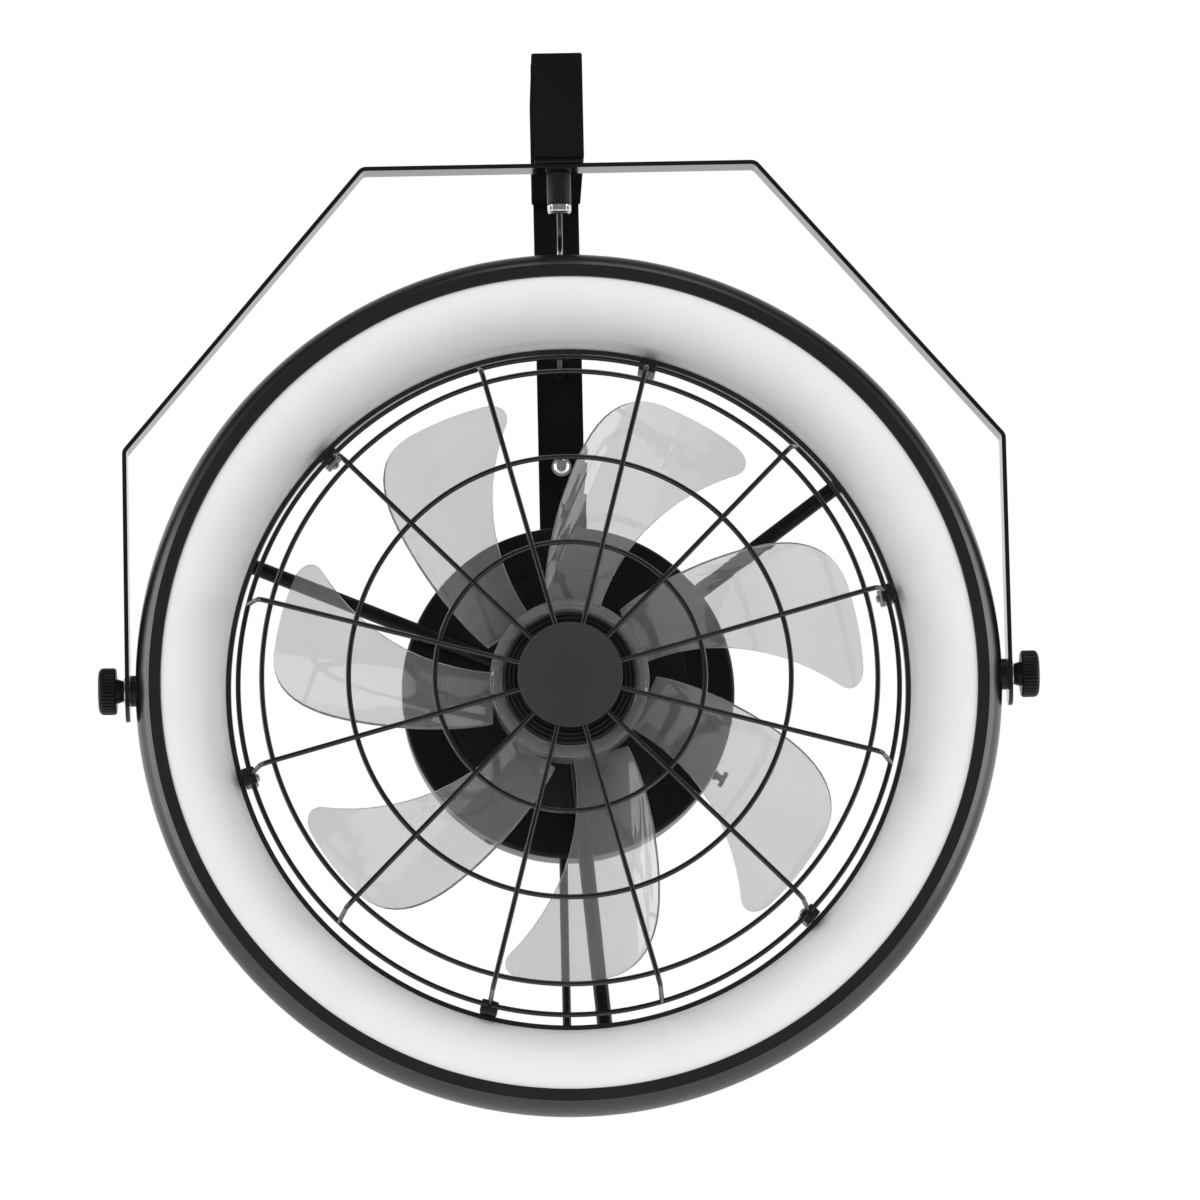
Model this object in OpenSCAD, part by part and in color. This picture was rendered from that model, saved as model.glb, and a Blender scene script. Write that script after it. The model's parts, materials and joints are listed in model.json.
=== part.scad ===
// Wall fan with a ring light.
// A caged fan sits in the middle of an opal ring light. The ring hangs in a bent
// yoke, the yoke swivels under an arm, and the arm stands out from a wall bar.
// Heights are given from the fan axis. The origin is on the wall, midway between
// the upper and the lower wall screw. The fan looks along -Y.

/* [Wall bar] */
// Width of the wall bar
bar_w = 27.2; // [22:0.2:29]
// Depth of the wall bar, from the wall to its face
bar_d = 10; // [9:0.5:16]
// Sheet thickness of the wall bar
bar_t = 2; // [1.5:0.1:3]
// Height of the wall bar's top end
bar_top = 390; // [388:1:420]
// Depth of the wall bar's bottom end below the fan axis
bar_bottom = 40; // [34:1:80]
// Height of the upper wall screw
upper_screw_h = 380; // [378:1:382]
// Height of the middle wall screw
middle_screw_h = 145; // [120:1:170]
// Height of the lower wall screw
lower_screw_h = -20; // [-26:1:20]
// Diameter of a wall screw's shank
wall_screw_d = 5; // [4:0.1:6]
// Length of a wall screw in the wall
wall_screw_reach = 35; // [25:1:60]
// Diameter of a wall screw's washer
wall_washer_d = 11.8; // [11:0.1:14]
// Height where the cable enters the wall bar
cable_entry_h = 200; // [195:1:205]
// Height of the spare fixing hole
spare_hole_h = 131; // [105:1:133]

/* [Arm] */
// Width of the arm
arm_w = 29.5; // [29:0.5:36]
// Height of the arm
arm_h = 61.5; // [50:0.5:66]
// Wall thickness of the arm
arm_t = 1.8; // [1.2:0.1:2.4]
// Distance that the arm's front stands past the yoke axis
arm_nose = 18; // [14:1:30]
// Distance from the wall to the yoke axis
reach = 146; // [143:1:170]
// Thickness of the spacer plate between arm and yoke
spacer_t = 2; // [1.5:0.1:3]

/* [Yoke] */
// Width of the yoke bar
yoke_w = 20; // [16:1:28]
// Thickness of the yoke bar
yoke_t = 2.5; // [2:0.1:4]
// Height of the yoke's top face
yoke_top = 302.5; // [301:0.5:306]
// Half length of the yoke's level top, to its corner
yoke_top_half = 114.2; // [100:0.2:130]
// Height of the yoke's side corners
yoke_corner_h = 138.4; // [125:0.2:155]
// Length of the yoke below the pivot
yoke_tail = 18; // [14:1:26]
// Radius of the yoke's bends at mid thickness
yoke_bend_r = 5; // [4:0.5:9]

/* [Swivel] */
// Outer diameter of the hollow swivel stem
stem_d = 10; // [9:0.1:11]
// Bore of the hollow swivel stem
stem_bore = 5.2; // [4.6:0.1:6.5]
// Diameter of the cord grip
grip_d = 14; // [13:0.1:16]
// Length of the cord grip's body
grip_len = 19.5; // [16:0.5:20]
// Length of the cord grip's claw nut
claw_len = 5.2; // [4:0.1:5.5]
// Diameter of the mains cable
cable_d = 3.2; // [3:0.1:3.6]

/* [Ring light] */
// Outer diameter of the ring
ring_d = 500; // [496:1:500]
// Distance from the pivot plane to the ring's front
ring_front = 19; // [17:0.5:22]
// Distance from the pivot plane to the ring's back
ring_back = 35; // [33:0.5:38]
// Width of the rounded front shoulder
shoulder_w = 7; // [4:0.5:8]
// Width of the rounded back shoulder
back_shoulder_w = 10; // [7:0.5:11]
// Width of the flat bezel
bezel_w = 8.4; // [7:0.1:10]
// Wall thickness of the ring housing
housing_t = 1.6; // [1.2:0.1:2]
// Width of the opal diffuser, seen from the front
diffuser_w = 35.6; // [30:0.2:37]
// Thickness of the opal diffuser
diffuser_t = 2; // [1.5:0.1:2.4]
// Thickness of the back cover and of its inner rim
cover_t = 1.6; // [1.2:0.1:2]
// Radial thickness of the black inner rim
rim_w = 2.7; // [2:0.1:3.4]
// Height of the black inner rim
rim_h = 7.2; // [6.8:0.1:9]
// Number of light chips in each of the two rows
chips_per_row = 30; // [12:1:36]

/* [Cage] */
// Diameter of the cage wire
wire_d = 3; // [2.4:0.1:3.4]
// Distance from the pivot plane to the front of the cap
cage_front = 46; // [44:0.5:52]
// Diameter of the cap
cap_d = 60; // [50:1:66]
// Thickness of the cap
cap_t = 4.5; // [3:0.1:5]
// Radius of the inner wire ring
inner_ring_r = 77.3; // [60:0.1:90]
// Radius of the middle wire ring
middle_ring_r = 126.5; // [105:0.1:140]
// Radius of the outer wire ring
outer_ring_r = 176; // [160:0.1:177]
// Number of spokes
spokes = 12; // [12:6:18]
// Radius of the spokes' bend
spoke_bend_r = 6; // [4:0.5:7]
// Angle by which the spokes' legs splay outward
leg_splay = 10.4; // [9:0.1:11]
// Distance of the cage's rim wire behind the pivot plane
rim_wire_back = 6; // [2:0.5:9]
// Distance from the rim wire's middle to the black inner rim
rim_wire_gap = 5; // [4.4:0.1:7]
// Number of clips that hold the cage
clips = 6; // [3:3:6]
// Width of a clip
clip_w = 10; // [8:0.5:14]

/* [Blades] */
// Number of blades
blades = 7; // [5:1:7]
// Radius of the blade tips
blade_tip_r = 171.7; // [150:0.1:174]
// Thickness of a blade
blade_t = 1.8; // [1.4:0.1:2.4]
// Radius of a blade's camber
blade_camber_r = 160; // [140:1:220]
// Mean pitch of a blade
blade_pitch = 27.1; // [22:0.1:28]
// Width of a blade across its span
blade_w = 93; // [80:0.5:98]
// Diameter of the clear hub
hub_d = 91.4; // [88:0.2:94]
// Wall thickness of the clear hub
hub_t = 1.8; // [1.4:0.1:2.2]

/* [Motor] */
// Diameter of the motor can
can_d = 76.4; // [74:0.2:78]
// Distance from the pivot plane to the can's front
can_front = 19.8; // [18:0.1:22]
// Length of the motor can
can_len = 39.8; // [36:0.2:41]
// Diameter of the motor shaft
shaft_d = 8; // [6:0.5:10]
// Number of stator teeth
teeth = 12; // [9:3:12]
// Number of magnets
magnets = 14; // [10:2:16]
// Number of ridges on the motor cover
ridges = 3; // [2:1:4]

/* [Canopy] */
// Diameter of the canopy
canopy_d = 195; // [185:1:205]
// Depth of the canopy
canopy_depth = 40; // [38:1:42]
// Distance from the pivot plane to the canopy's rim face
canopy_front = 51.6; // [50:0.2:56]
// Diameter of the raised middle of the canopy
plateau_d = 142; // [130:1:155]
// Height of the raised middle of the canopy
plateau_h = 3; // [2:0.5:4]
// Sheet thickness of the canopy
canopy_t = 1.5; // [1:0.1:2]
// Diameter of a support arm
support_d = 9; // [7:0.5:9]
// Diameter of the light's supply lead
lead_d = 5; // [4:0.5:5.5]

/* [Knobs] */
// Diameter of a clamp knob
knob_d = 27; // [22:0.5:34]
// Thickness of a clamp knob
knob_t = 10.2; // [8:0.2:14]
// Diameter of the clamp stud
stud_d = 8; // [6:0.5:8]
// Diameter of the pivot boss
boss_d = 18; // [15:0.5:22]
// Distance from the ring to the yoke's inner face
boss_gap = 3; // [3:0.5:8]
// Number of grip grooves on a knob
knob_grooves = 40; // [24:2:48]

/* [Hidden] */
$fn = 96;

// Clearance of a running fit, on the radius
fit = 0.05;
// Clearance of a loose fit, on the radius
loose = 0.2;
// Gap between the faces of pieces that turn against each other
face_gap = 0.3;
// Overshoot of a cut
cut = 1;

paint = "#1c1c1e";
dark_plastic = "#262628";
steel = "#b9bcc0";
chrome_look = "#d8dadd";
opal = "#f1f1ef";
clear_grey = "#c9cbcd";
copper = "#b06a35";
board_green = "#1f6b45";

// Plain neck of the wall screws, thinner than their thread
wall_screw_neck_d = wall_screw_d - 1.4;

// Places along Z and Y
arm_base_h = yoke_top + spacer_t;
bar_len = bar_top + bar_bottom;
wall_screw_hs = [upper_screw_h, middle_screw_h, lower_screw_h];
axis_z = -(upper_screw_h + lower_screw_h) / 2;
axis_y = -reach;
arm_len = reach + arm_nose - bar_d;
arm_cap_t = 1.5;
block_len = 20;
arm_screw_d = 6;
arm_screw_hs = [arm_base_h + arm_h * 0.25, arm_base_h + arm_h * 0.75];
stem_top_h = arm_base_h + 13;
lock_nut_h = 5;
swivel_washer_t = 0.8;
grip_top_h = yoke_top - yoke_t - swivel_washer_t;
grip_low_h = grip_top_h - grip_len;
claw_low_h = grip_low_h - claw_len;
stem_low_h = grip_top_h - 12;
grommet_lip = 1.2;
connector_front = bar_d - bar_t - 1.7;

// Ring light, in the fan's frame: x right, y up, z towards the viewer
ring_r = ring_d / 2;
bezel_r = ring_r - shoulder_w;
lip_r = bezel_r - bezel_w;
back_r = ring_r - back_shoulder_w;
flange_r = back_r - 11;
cover_back = ring_back - housing_t;
cover_front = cover_back - cover_t;
diffuser_top = ring_front - housing_t;
diffuser_r = lip_r - diffuser_w;
rim_r = diffuser_r - loose - rim_w;
rim_top = cover_back - rim_h;
board_t = 1.6;
board_in_r = diffuser_r + diffuser_t + 3;
board_out_r = flange_r + 0.5;
housing_screw_r = (flange_r + back_r) / 2;
housing_screws_n = 8;

// Pivots
yoke_in_x = ring_r + boss_gap;
yoke_out_x = yoke_in_x + yoke_t;
boss_in_x = ring_r - housing_t - 4.8;
boss_nut_t = 3;
knob_washer_t = 0.8;
knob_neck = 4.5;
knob_x = yoke_out_x + knob_washer_t + knob_neck;
stud_in_x = boss_in_x + 1;

// Cage
spoke_z = cage_front - cap_t - wire_d / 2;
ring_z = spoke_z - wire_d - 0.02;
bend_end_z = spoke_z - spoke_bend_r + spoke_bend_r * sin(leg_splay);
leg_end_z = -rim_wire_back + wire_d / 2 + fit;
leg_len = (bend_end_z - leg_end_z) / cos(leg_splay);
rim_wire_r = rim_r - rim_wire_gap;
bend_end_r = rim_wire_r - leg_len * sin(leg_splay);
bend_r = bend_end_r - spoke_bend_r * cos(leg_splay);
spoke_in_r = 14;
bend_lap = 0.5;
first_spoke = 15;
cage_plate_t = 3;
clip_in_r = rim_wire_r - wire_d / 2 - 1.3;
clip_out_r = sqrt(rim_r * rim_r - clip_w * clip_w / 4) - 2 * fit;
clip_top = -rim_wire_back + 0.8;
clip_screw_z = -cover_back + rim_h * 0.45;

// Motor and rotor
can_r = can_d / 2;
can_t = 1.8;
can_back = can_front - can_len;
magnet_t = 1.8;
air_gap = 0.9;
stator_r = can_r - can_t - fit - magnet_t - air_gap;
stator_len = 18;
stator_back = can_back + 2;
spigot_r = 14;
bearing_r = 11;
bearing_t = 7;
arm_level = -canopy_front + plateau_h + support_d / 2 + 0.1;
base_r = 36;
base_back = -canopy_front + plateau_h;
base_front = arm_level + support_d / 2 + 2;
spigot_front = stator_back + stator_len + 2;
shaft_back = base_front + 2;
front_bearing_z = spigot_front - bearing_t - 0.5;
rear_bearing_z = base_front + 4;
hub_front = can_front + 4.2;
hub_back = can_back + 4;
hub_floor_t = 2.5;
hub_bore_r = can_r + loose;
hub_r = hub_d / 2;
cover_z = can_front + hub_floor_t;
motor_cover_t = 3;
cover_screw_r = 20;
shaft_r = shaft_d / 2;

// Blade outline, as curve points [share of the span, share of the width]
blade_root_r = hub_r - 1.4;
blade_span = blade_tip_r - blade_root_r;
lead_edge = [[0, 0.01], [0.359, 0.065], [0.657, -0.15], [0.853, -0.462]];
lead_corner = [[0.853, -0.462], [0.892, -0.516], [0.955, -0.495], [0.973, -0.368]];
tip_edge = [[0.973, -0.368], [0.996, -0.215], [1.003, -0.086], [0.998, 0.065]];
tail_corner = [[0.998, 0.065], [1.002, 0.344], [0.853, 0.473], [0.618, 0.484]];
tail_edge = [[0.618, 0.484], [0.398, 0.5], [0.092, 0.441], [-0.086, 0.314]];
blade_half = 0.56 * blade_w;
blade_mid_z = (hub_front + hub_back) / 2 - 7.75;
first_blade = 14.9;

// Canopy, behind the fan
canopy_r = canopy_d / 2;
canopy_back = canopy_front + canopy_depth;
plateau_r = plateau_d / 2;
plate_t = 1.5;
plate_r = canopy_r - canopy_t - loose;
plate_flange = canopy_depth / 2;
rim_screw_z = -canopy_front - canopy_depth * 0.7;
rim_screw_angles = [61, 151, 241];
thumb_screw_angle = -29;
support_angles = [36.3, 157.3, 275];
support_foot_r = rim_r + 13;
support_foot = [14, 25, 3];
support_screw_d = 2.9;
support_screw_side = 8.8;
support_socket = 10;
base_screw_r = 29;
base_screw_angles = [for (i = [0 : 2])
    (support_angles[i] + (i < 2 ? support_angles[i + 1] : support_angles[0] + 360)) / 2];
lead_x = -4.6;
lead_z = -canopy_front - canopy_depth * 0.3;
board_size = [110, 66, 1.6];
standoff_h = 6;
board_back = canopy_back - plate_t - standoff_h;

// Route of the mains cable from the cord grip to the wall bar: [y, height]
cable_route = [
    [-146, 274.5], [-146, 272], [-146, 269], [-144.9, 263.6], [-141.9, 259.1], [-137.4, 256.1],
    [-132, 255], [-124, 254.8], [-116, 255], [-108, 255.5], [-100, 256], [-92, 256.2],
    [-84, 255.8], [-76, 254.5], [-68.2, 252.2], [-61, 248.8], [-54.6, 244.3], [-49, 238.8],
    [-44.2, 232.5], [-40, 225.8], [-36, 219], [-31.8, 212.7], [-27, 207.2], [-21.6, 203.2],
    [-16.2, 200.8], [-11.2, 200]
];
cable_sides = 8;

function at_height(h) = axis_z + h;
function polar(r, a) = [r * cos(a), r * sin(a)];
function arc(c, rx, ry, a0, a1, n) =
    [for (i = [0 : n]) let (a = a0 + (a1 - a0) * i / n) [c[0] + rx * cos(a), c[1] + ry * sin(a)]];
function curve(p, n) =
    [for (i = [0 : n - 1]) let (t = i / n, s = 1 - t)
        s * s * s * p[0] + 3 * s * s * t * p[1] + 3 * s * t * t * p[2] + t * t * t * p[3]];
function spread(n, first = 0) = [for (i = [0 : n - 1]) first + i * 360 / n];

// Sets its children in the fan's frame, z towards the viewer
module in_fan() {
    translate([0, axis_y, axis_z]) rotate([90, 0, 0]) children();
}

// A cylinder along Y from the wall outward, between two distances from the wall
module off_wall(x, h, d, from, to) {
    translate([x, -from, at_height(h)]) rotate([90, 0, 0]) cylinder(d = d, h = to - from);
}

// A rectangle with round corners, centred
module round_rect(w, h, r) {
    square([w - 2 * r, h], center = true);
    square([w, h - 2 * r], center = true);
    for (x = [-1, 1], y = [-1, 1]) translate([x * (w / 2 - r), y * (h / 2 - r)]) circle(r, $fn = 32);
}

// A ring of rectangular section
module washer(r_out, r_in, h) {
    difference() {
        cylinder(r = r_out, h = h);
        translate([0, 0, -cut]) cylinder(r = r_in, h = h + 2 * cut);
    }
}

// A pan head screw along +Z, its head below z = 0, with a cross recess
module pan_screw(d, len, head_d, head_h) {
    difference() {
        union() {
            translate([0, 0, -head_h * 0.6]) cylinder(d = head_d, h = head_h * 0.6);
            translate([0, 0, -head_h]) cylinder(d1 = head_d * 0.72, d2 = head_d, h = head_h * 0.4);
            cylinder(d = d, h = len);
        }
        for (a = [0, 90]) rotate([0, 0, a]) translate([0, 0, -head_h + head_h * 0.2])
            cube([head_d * 0.5, head_d * 0.12, head_h * 0.6], center = true);
    }
}

// Wall bar and its pieces

module wall_bar() {
    color(paint)
    difference() {
        translate([-bar_w / 2, -bar_d, at_height(-bar_bottom)]) cube([bar_w, bar_d, bar_len]);
        translate([-bar_w / 2 + bar_t, -bar_d + bar_t, at_height(-bar_bottom) - cut])
            cube([bar_w - 2 * bar_t, bar_d, bar_len + 2 * cut]);
        for (h = wall_screw_hs) off_wall(0, h, wall_screw_d + 0.6, 0, bar_d + cut);
        for (h = arm_screw_hs) off_wall(0, h, arm_screw_d + 0.4, 0, bar_d + cut);
        off_wall(0, cable_entry_h, grommet_neck_d() + 2 * fit, 0, bar_d + cut);
        off_wall(0, spare_hole_h, 3, 0, bar_d + cut);
    }
}

function grommet_neck_d() = cable_d + 1.8;

module bar_end_caps() {
    color(dark_plastic)
    for (end = [[bar_top, 0], [-bar_bottom, 180]])
        translate([0, -bar_d / 2, at_height(end[0])]) rotate([0, end[1], 0]) {
            translate([-bar_w / 2, -bar_d / 2, 0]) cube([bar_w, bar_d, 1.2]);
            translate([-bar_w / 2 + bar_t + fit, -bar_d / 2 + bar_t + fit, -3])
                cube([bar_w - 2 * bar_t - 2 * fit, bar_d - bar_t - fit, 3]);
        }
}

module wall_screws() {
    color(steel)
    for (h = wall_screw_hs) translate([0, 0, at_height(h)]) {
        translate([0, -bar_d - 1.2, 0]) rotate([-90, 0, 0])
            pan_screw(wall_screw_neck_d, bar_d + 1.2, 9, 3);
        rotate([-90, 0, 0]) cylinder(d = wall_screw_d, h = wall_screw_reach - 5);
        translate([0, wall_screw_reach - 5, 0]) rotate([-90, 0, 0])
            cylinder(d1 = wall_screw_d, d2 = 0.6, h = 5);
    }
}

module wall_screw_washers() {
    color(steel)
    for (h = wall_screw_hs) translate([0, -bar_d, at_height(h)]) rotate([90, 0, 0])
        washer(wall_washer_d / 2, wall_screw_d / 2 + fit, 1.2);
}

module wall_screw_spacers() {
    color(steel)
    for (h = wall_screw_hs) translate([0, 0, at_height(h)]) rotate([90, 0, 0])
        washer(wall_screw_d / 2 + 2.5, wall_screw_d / 2 + fit, bar_d - bar_t);
}

module cable_grommet() {
    color(dark_plastic)
    translate([0, 0, at_height(cable_entry_h)]) rotate([90, 0, 0]) difference() {
        union() {
            translate([0, 0, bar_d]) cylinder(d = grommet_neck_d() + 1.7, h = grommet_lip);
            translate([0, 0, bar_d - bar_t]) cylinder(d = grommet_neck_d(), h = bar_t);
            translate([0, 0, bar_d - bar_t - 0.8]) cylinder(d = grommet_neck_d() + 1.7, h = 0.8);
        }
        cylinder(d = cable_d + 2 * fit, h = bar_d + 2 * grommet_lip);
    }
}

module bar_connector() {
    color("#d9d5c8")
    translate([-8, -connector_front, at_height(cable_entry_h) - 6]) cube([16, connector_front - 0.3, 12]);
}

// Arm and its pieces

module arm_section(inset) {
    translate([0, arm_base_h + arm_h / 2]) round_rect(arm_w - 2 * inset, arm_h - 2 * inset, 1.2);
}

module along_arm(from, to) {
    translate([0, -from, axis_z]) rotate([90, 0, 0]) linear_extrude(height = to - from) children();
}

module arm_tube() {
    color(paint)
    difference() {
        along_arm(bar_d, bar_d + arm_len - arm_cap_t) arm_section(0);
        along_arm(bar_d - cut, bar_d + arm_len) arm_section(arm_t);
        translate([0, axis_y, at_height(arm_base_h) - cut])
            cylinder(d = stem_d + 2 * fit, h = arm_t + 2 * cut);
    }
}

module arm_end_cap() {
    color(paint) {
        along_arm(bar_d + arm_len - arm_cap_t, bar_d + arm_len) arm_section(0);
        along_arm(bar_d + arm_len - arm_cap_t - 4, bar_d + arm_len - arm_cap_t) arm_section(arm_t + fit);
    }
}

module arm_root_block() {
    color(steel)
    difference() {
        along_arm(bar_d, bar_d + block_len) arm_section(arm_t + fit);
        for (h = arm_screw_hs) off_wall(0, h, arm_screw_d + 2 * fit, bar_d - cut, bar_d + block_len + cut);
    }
}

module arm_fixing_screws() {
    color(steel)
    for (h = arm_screw_hs) translate([0, -bar_d + bar_t, at_height(h)]) rotate([90, 0, 0])
        pan_screw(arm_screw_d, bar_t + block_len - 3, arm_screw_d * 1.7, 4);
}

// Swivel and cord grip

module swivel_spacer() {
    color(dark_plastic)
    translate([0, axis_y, at_height(yoke_top)]) difference() {
        linear_extrude(height = spacer_t) translate([0, 1]) round_rect(arm_w - 1.8, 30, 1.5);
        translate([0, 0, -cut]) cylinder(d = stem_d + 2 * fit, h = spacer_t + 2 * cut);
    }
}

module swivel_stem() {
    color(steel)
    translate([0, axis_y, at_height(stem_low_h)])
        washer(stem_d / 2, stem_bore / 2, stem_top_h - stem_low_h);
}

module swivel_lock_nut() {
    color(steel)
    translate([0, axis_y, at_height(arm_base_h + arm_t)]) difference() {
        union() {
            cylinder(r = stem_d / 2 + 5, h = 1);
            translate([0, 0, 1]) cylinder(r = (stem_d + 7) / sqrt(3), h = lock_nut_h, $fn = 6);
        }
        translate([0, 0, -cut]) cylinder(d = stem_d + 2 * fit, h = lock_nut_h + 1 + 2 * cut);
    }
}

module arm_connector() {
    color("#d9d5c8")
    translate([0, axis_y, at_height(stem_top_h) + 1]) difference() {
        cylinder(d = cable_d + 5.8, h = 15);
        translate([0, 0, -cut]) cylinder(d = cable_d + 2 * fit, h = 9 + cut);
    }
}

module cord_grip_body() {
    color(paint)
    translate([0, axis_y, at_height(grip_low_h)]) difference() {
        rotate_extrude() polygon(concat(
            [[0, 0], [grip_d / 2 - 0.5, 0], [grip_d / 2, 0.5]],
            arc([grip_d / 2 - 1.2, grip_len - 1.2], 1.2, 1.2, 0, 90, 6),
            [[0, grip_len]]));
        translate([0, 0, -cut]) cylinder(d = stem_bore, h = grip_len);
        translate([0, 0, stem_low_h - grip_low_h]) cylinder(d = stem_d + 2 * fit, h = grip_len);
    }
}

module cord_grip_claw() {
    color(chrome_look)
    translate([0, axis_y, at_height(claw_low_h)]) difference() {
        rotate_extrude() polygon(concat(
            [[0, 0]],
            arc([grip_d / 2 - 1.9, 1.8], 1.8, 1.8, -90, 0, 8),
            [[grip_d / 2 - 0.1, claw_len - 0.6], [grip_d / 2 - 0.7, claw_len], [0, claw_len]]));
        translate([0, 0, -cut]) cylinder(d = cable_d + 2 * fit, h = claw_len + 2 * cut);
        for (a = spread(8)) rotate([0, 0, a]) translate([grip_d / 2 - 2.2, -0.7, 1.4])
            cube([4, 1.4, claw_len - 2.6]);
    }
}

module cable_inner_leads() {
    color(dark_plastic) {
        translate([0, axis_y, at_height(claw_low_h)])
            cylinder(d = cable_d, h = stem_top_h + 10 - claw_low_h);
        off_wall(0, cable_entry_h, cable_d, connector_front, bar_d + grommet_lip);
    }
}

// Direction of the cable's route at point i
function route_dir(i) =
    let (a = cable_route[max(i - 1, 0)], b = cable_route[min(i + 1, len(cable_route) - 1)])
    i == 0 ? [0, -1] : i == len(cable_route) - 1 ? [1, 0] : (b - a) / norm(b - a);

// A ring of points round point i of the route, square to it
function route_ring(i) =
    let (d = route_dir(i), r = cable_d / 2, p = cable_route[i])
    [for (k = [0 : cable_sides - 1]) let (a = 360 * k / cable_sides, c = r * cos(a))
        [r * sin(a), p[0] - d[1] * c, at_height(p[1]) + d[0] * c]];

// The cable's free stretch, a tube swept along the route
module mains_cable() {
    n = len(cable_route);
    m = cable_sides;
    color(dark_plastic)
    polyhedron(
        points = [for (i = [0 : n - 1], p = route_ring(i)) p],
        faces = concat(
            [[for (k = [m - 1 : -1 : 0]) k]],
            [for (i = [0 : n - 2], k = [0 : m - 1]) let (j = (k + 1) % m)
                [i * m + k, i * m + j, (i + 1) * m + j, (i + 1) * m + k]],
            [[for (k = [0 : m - 1]) (n - 1) * m + k]]),
        convexity = 4);
}

// Yoke

// Points of a bend between two straights, at a distance off the mid line
function bend(a, b, c, off) =
    let (
        u = (b - a) / norm(b - a),
        v = (c - b) / norm(c - b),
        turn = acos(u * v),
        t = yoke_bend_r * tan(turn / 2),
        centre = b - u * t + [u[1], -u[0]] * yoke_bend_r,
        a0 = atan2(u[0], -u[1])
    )
    [for (i = [0 : 6]) centre + (yoke_bend_r + off) * [cos(a0 - turn * i / 6), sin(a0 - turn * i / 6)]];

module yoke_bar() {
    side_x = yoke_in_x + yoke_t / 2;
    top_h = yoke_top - yoke_t / 2;
    way = [[0, top_h], [yoke_top_half, top_h], [side_x, yoke_corner_h], [side_x, -yoke_tail]];
    half = yoke_t / 2;
    outer = concat(bend(way[0], way[1], way[2], half), bend(way[1], way[2], way[3], half));
    inner = concat(bend(way[0], way[1], way[2], -half), bend(way[1], way[2], way[3], -half));
    side = concat(
        outer, [[side_x + half, -yoke_tail], [side_x - half, -yoke_tail]],
        [for (i = [len(inner) - 1 : -1 : 0]) inner[i]]);
    other_side = [for (i = [len(side) - 1 : -1 : 0]) [-side[i][0], side[i][1]]];
    color(paint)
    difference() {
        intersection() {
            in_fan() translate([0, 0, -yoke_w / 2]) linear_extrude(height = yoke_w)
                polygon(concat(side, other_side));
            translate([-yoke_out_x - cut, axis_y, axis_z]) rotate([90, 0, 90])
                linear_extrude(height = 2 * (yoke_out_x + cut)) {
                    translate([0, yoke_w / 2 - yoke_tail]) circle(yoke_w / 2);
                    translate([-yoke_w / 2, yoke_w / 2 - yoke_tail])
                        square([yoke_w, yoke_top + yoke_tail]);
                }
        }
        for (s = [-1, 1]) translate([s * (yoke_in_x + yoke_t / 2), axis_y, axis_z]) rotate([0, 90, 0])
            cylinder(d = stud_d + 2 * fit, h = yoke_t + 2 * cut, center = true);
        translate([0, axis_y, at_height(yoke_top - yoke_t) - cut])
            cylinder(d = stem_d + 2 * fit, h = yoke_t + 2 * cut);
    }
}

module swivel_washer() {
    color(dark_plastic)
    translate([0, axis_y, at_height(grip_top_h)])
        washer(grip_d / 2 + 0.6, stem_d / 2 + fit, swivel_washer_t);
}

// Ring light

// Section of the housing's shell: the curve from the bezel round to the back flange
function shell_curve(inset) = concat(
    arc([bezel_r, 0], shoulder_w - inset, ring_front - inset, 90, 0, 10),
    arc([back_r, 0], back_shoulder_w - inset, ring_back - inset, -7.5, -90, 11));

module ring_housing() {
    inner = shell_curve(housing_t);
    color(paint)
    in_fan() difference() {
        rotate_extrude($fn = 180) polygon(concat(
            [[lip_r, ring_front]], shell_curve(0),
            [[flange_r, -ring_back], [flange_r, -ring_back + housing_t]],
            [for (i = [len(inner) - 1 : -1 : 0]) inner[i]],
            [[lip_r, ring_front - housing_t]]));
        for (s = [-1, 1]) translate([s * ring_r, 0, 0]) rotate([0, 90, 0])
            cylinder(d = boss_d + 2 * fit, h = 12, center = true);
        for (a = spread(housing_screws_n)) rotate([0, 0, a])
            translate([housing_screw_r, 0, -ring_back - cut]) cylinder(d = 3.4, h = housing_t + 2 * cut);
    }
}

module ring_back_cover() {
    color(paint)
    in_fan() difference() {
        rotate_extrude($fn = 180) polygon([
            [rim_r, -cover_back], [back_r - housing_t - 1.5, -cover_back],
            [back_r - housing_t - 1.5, -cover_front], [rim_r + rim_w, -cover_front],
            [rim_r + rim_w, -rim_top], [rim_r, -rim_top]]);
        for (a = spread(housing_screws_n)) rotate([0, 0, a])
            translate([housing_screw_r, 0, -cover_back - cut])
                cylinder(d = 3 + 2 * fit, h = cover_t + 2 * cut);
        support_screw_holes();
        for (a = spread(clips, first_spoke)) rotate([0, 0, a])
            translate([rim_r - cut, 0, clip_screw_z]) rotate([0, 90, 0])
                cylinder(d = 2.5 + 2 * fit, h = rim_w + 2 * cut);
        translate([lead_x, -lead_foot_r(), -cover_back - cut])
            cylinder(d = lead_d + 2 * fit, h = cover_t + 2 * cut);
    }
}

module diffuser() {
    w = diffuser_w;
    d = diffuser_top + rim_top;
    t = diffuser_t;
    color(opal)
    in_fan() rotate_extrude($fn = 180) polygon(concat(
        [[diffuser_r, -cover_front]],
        arc([lip_r, -rim_top], w, d, 180, 90, 18),
        [[lip_r + 4.2, diffuser_top], [lip_r + 4.2, diffuser_top - t]],
        arc([lip_r, -rim_top], w - t, d - t, 90, 180, 18),
        [[diffuser_r + t, -cover_front]]));
}

module led_board() {
    color("#f4f4f0")
    in_fan() translate([0, 0, -cover_front]) washer(board_out_r, board_in_r, board_t);
}

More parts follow.
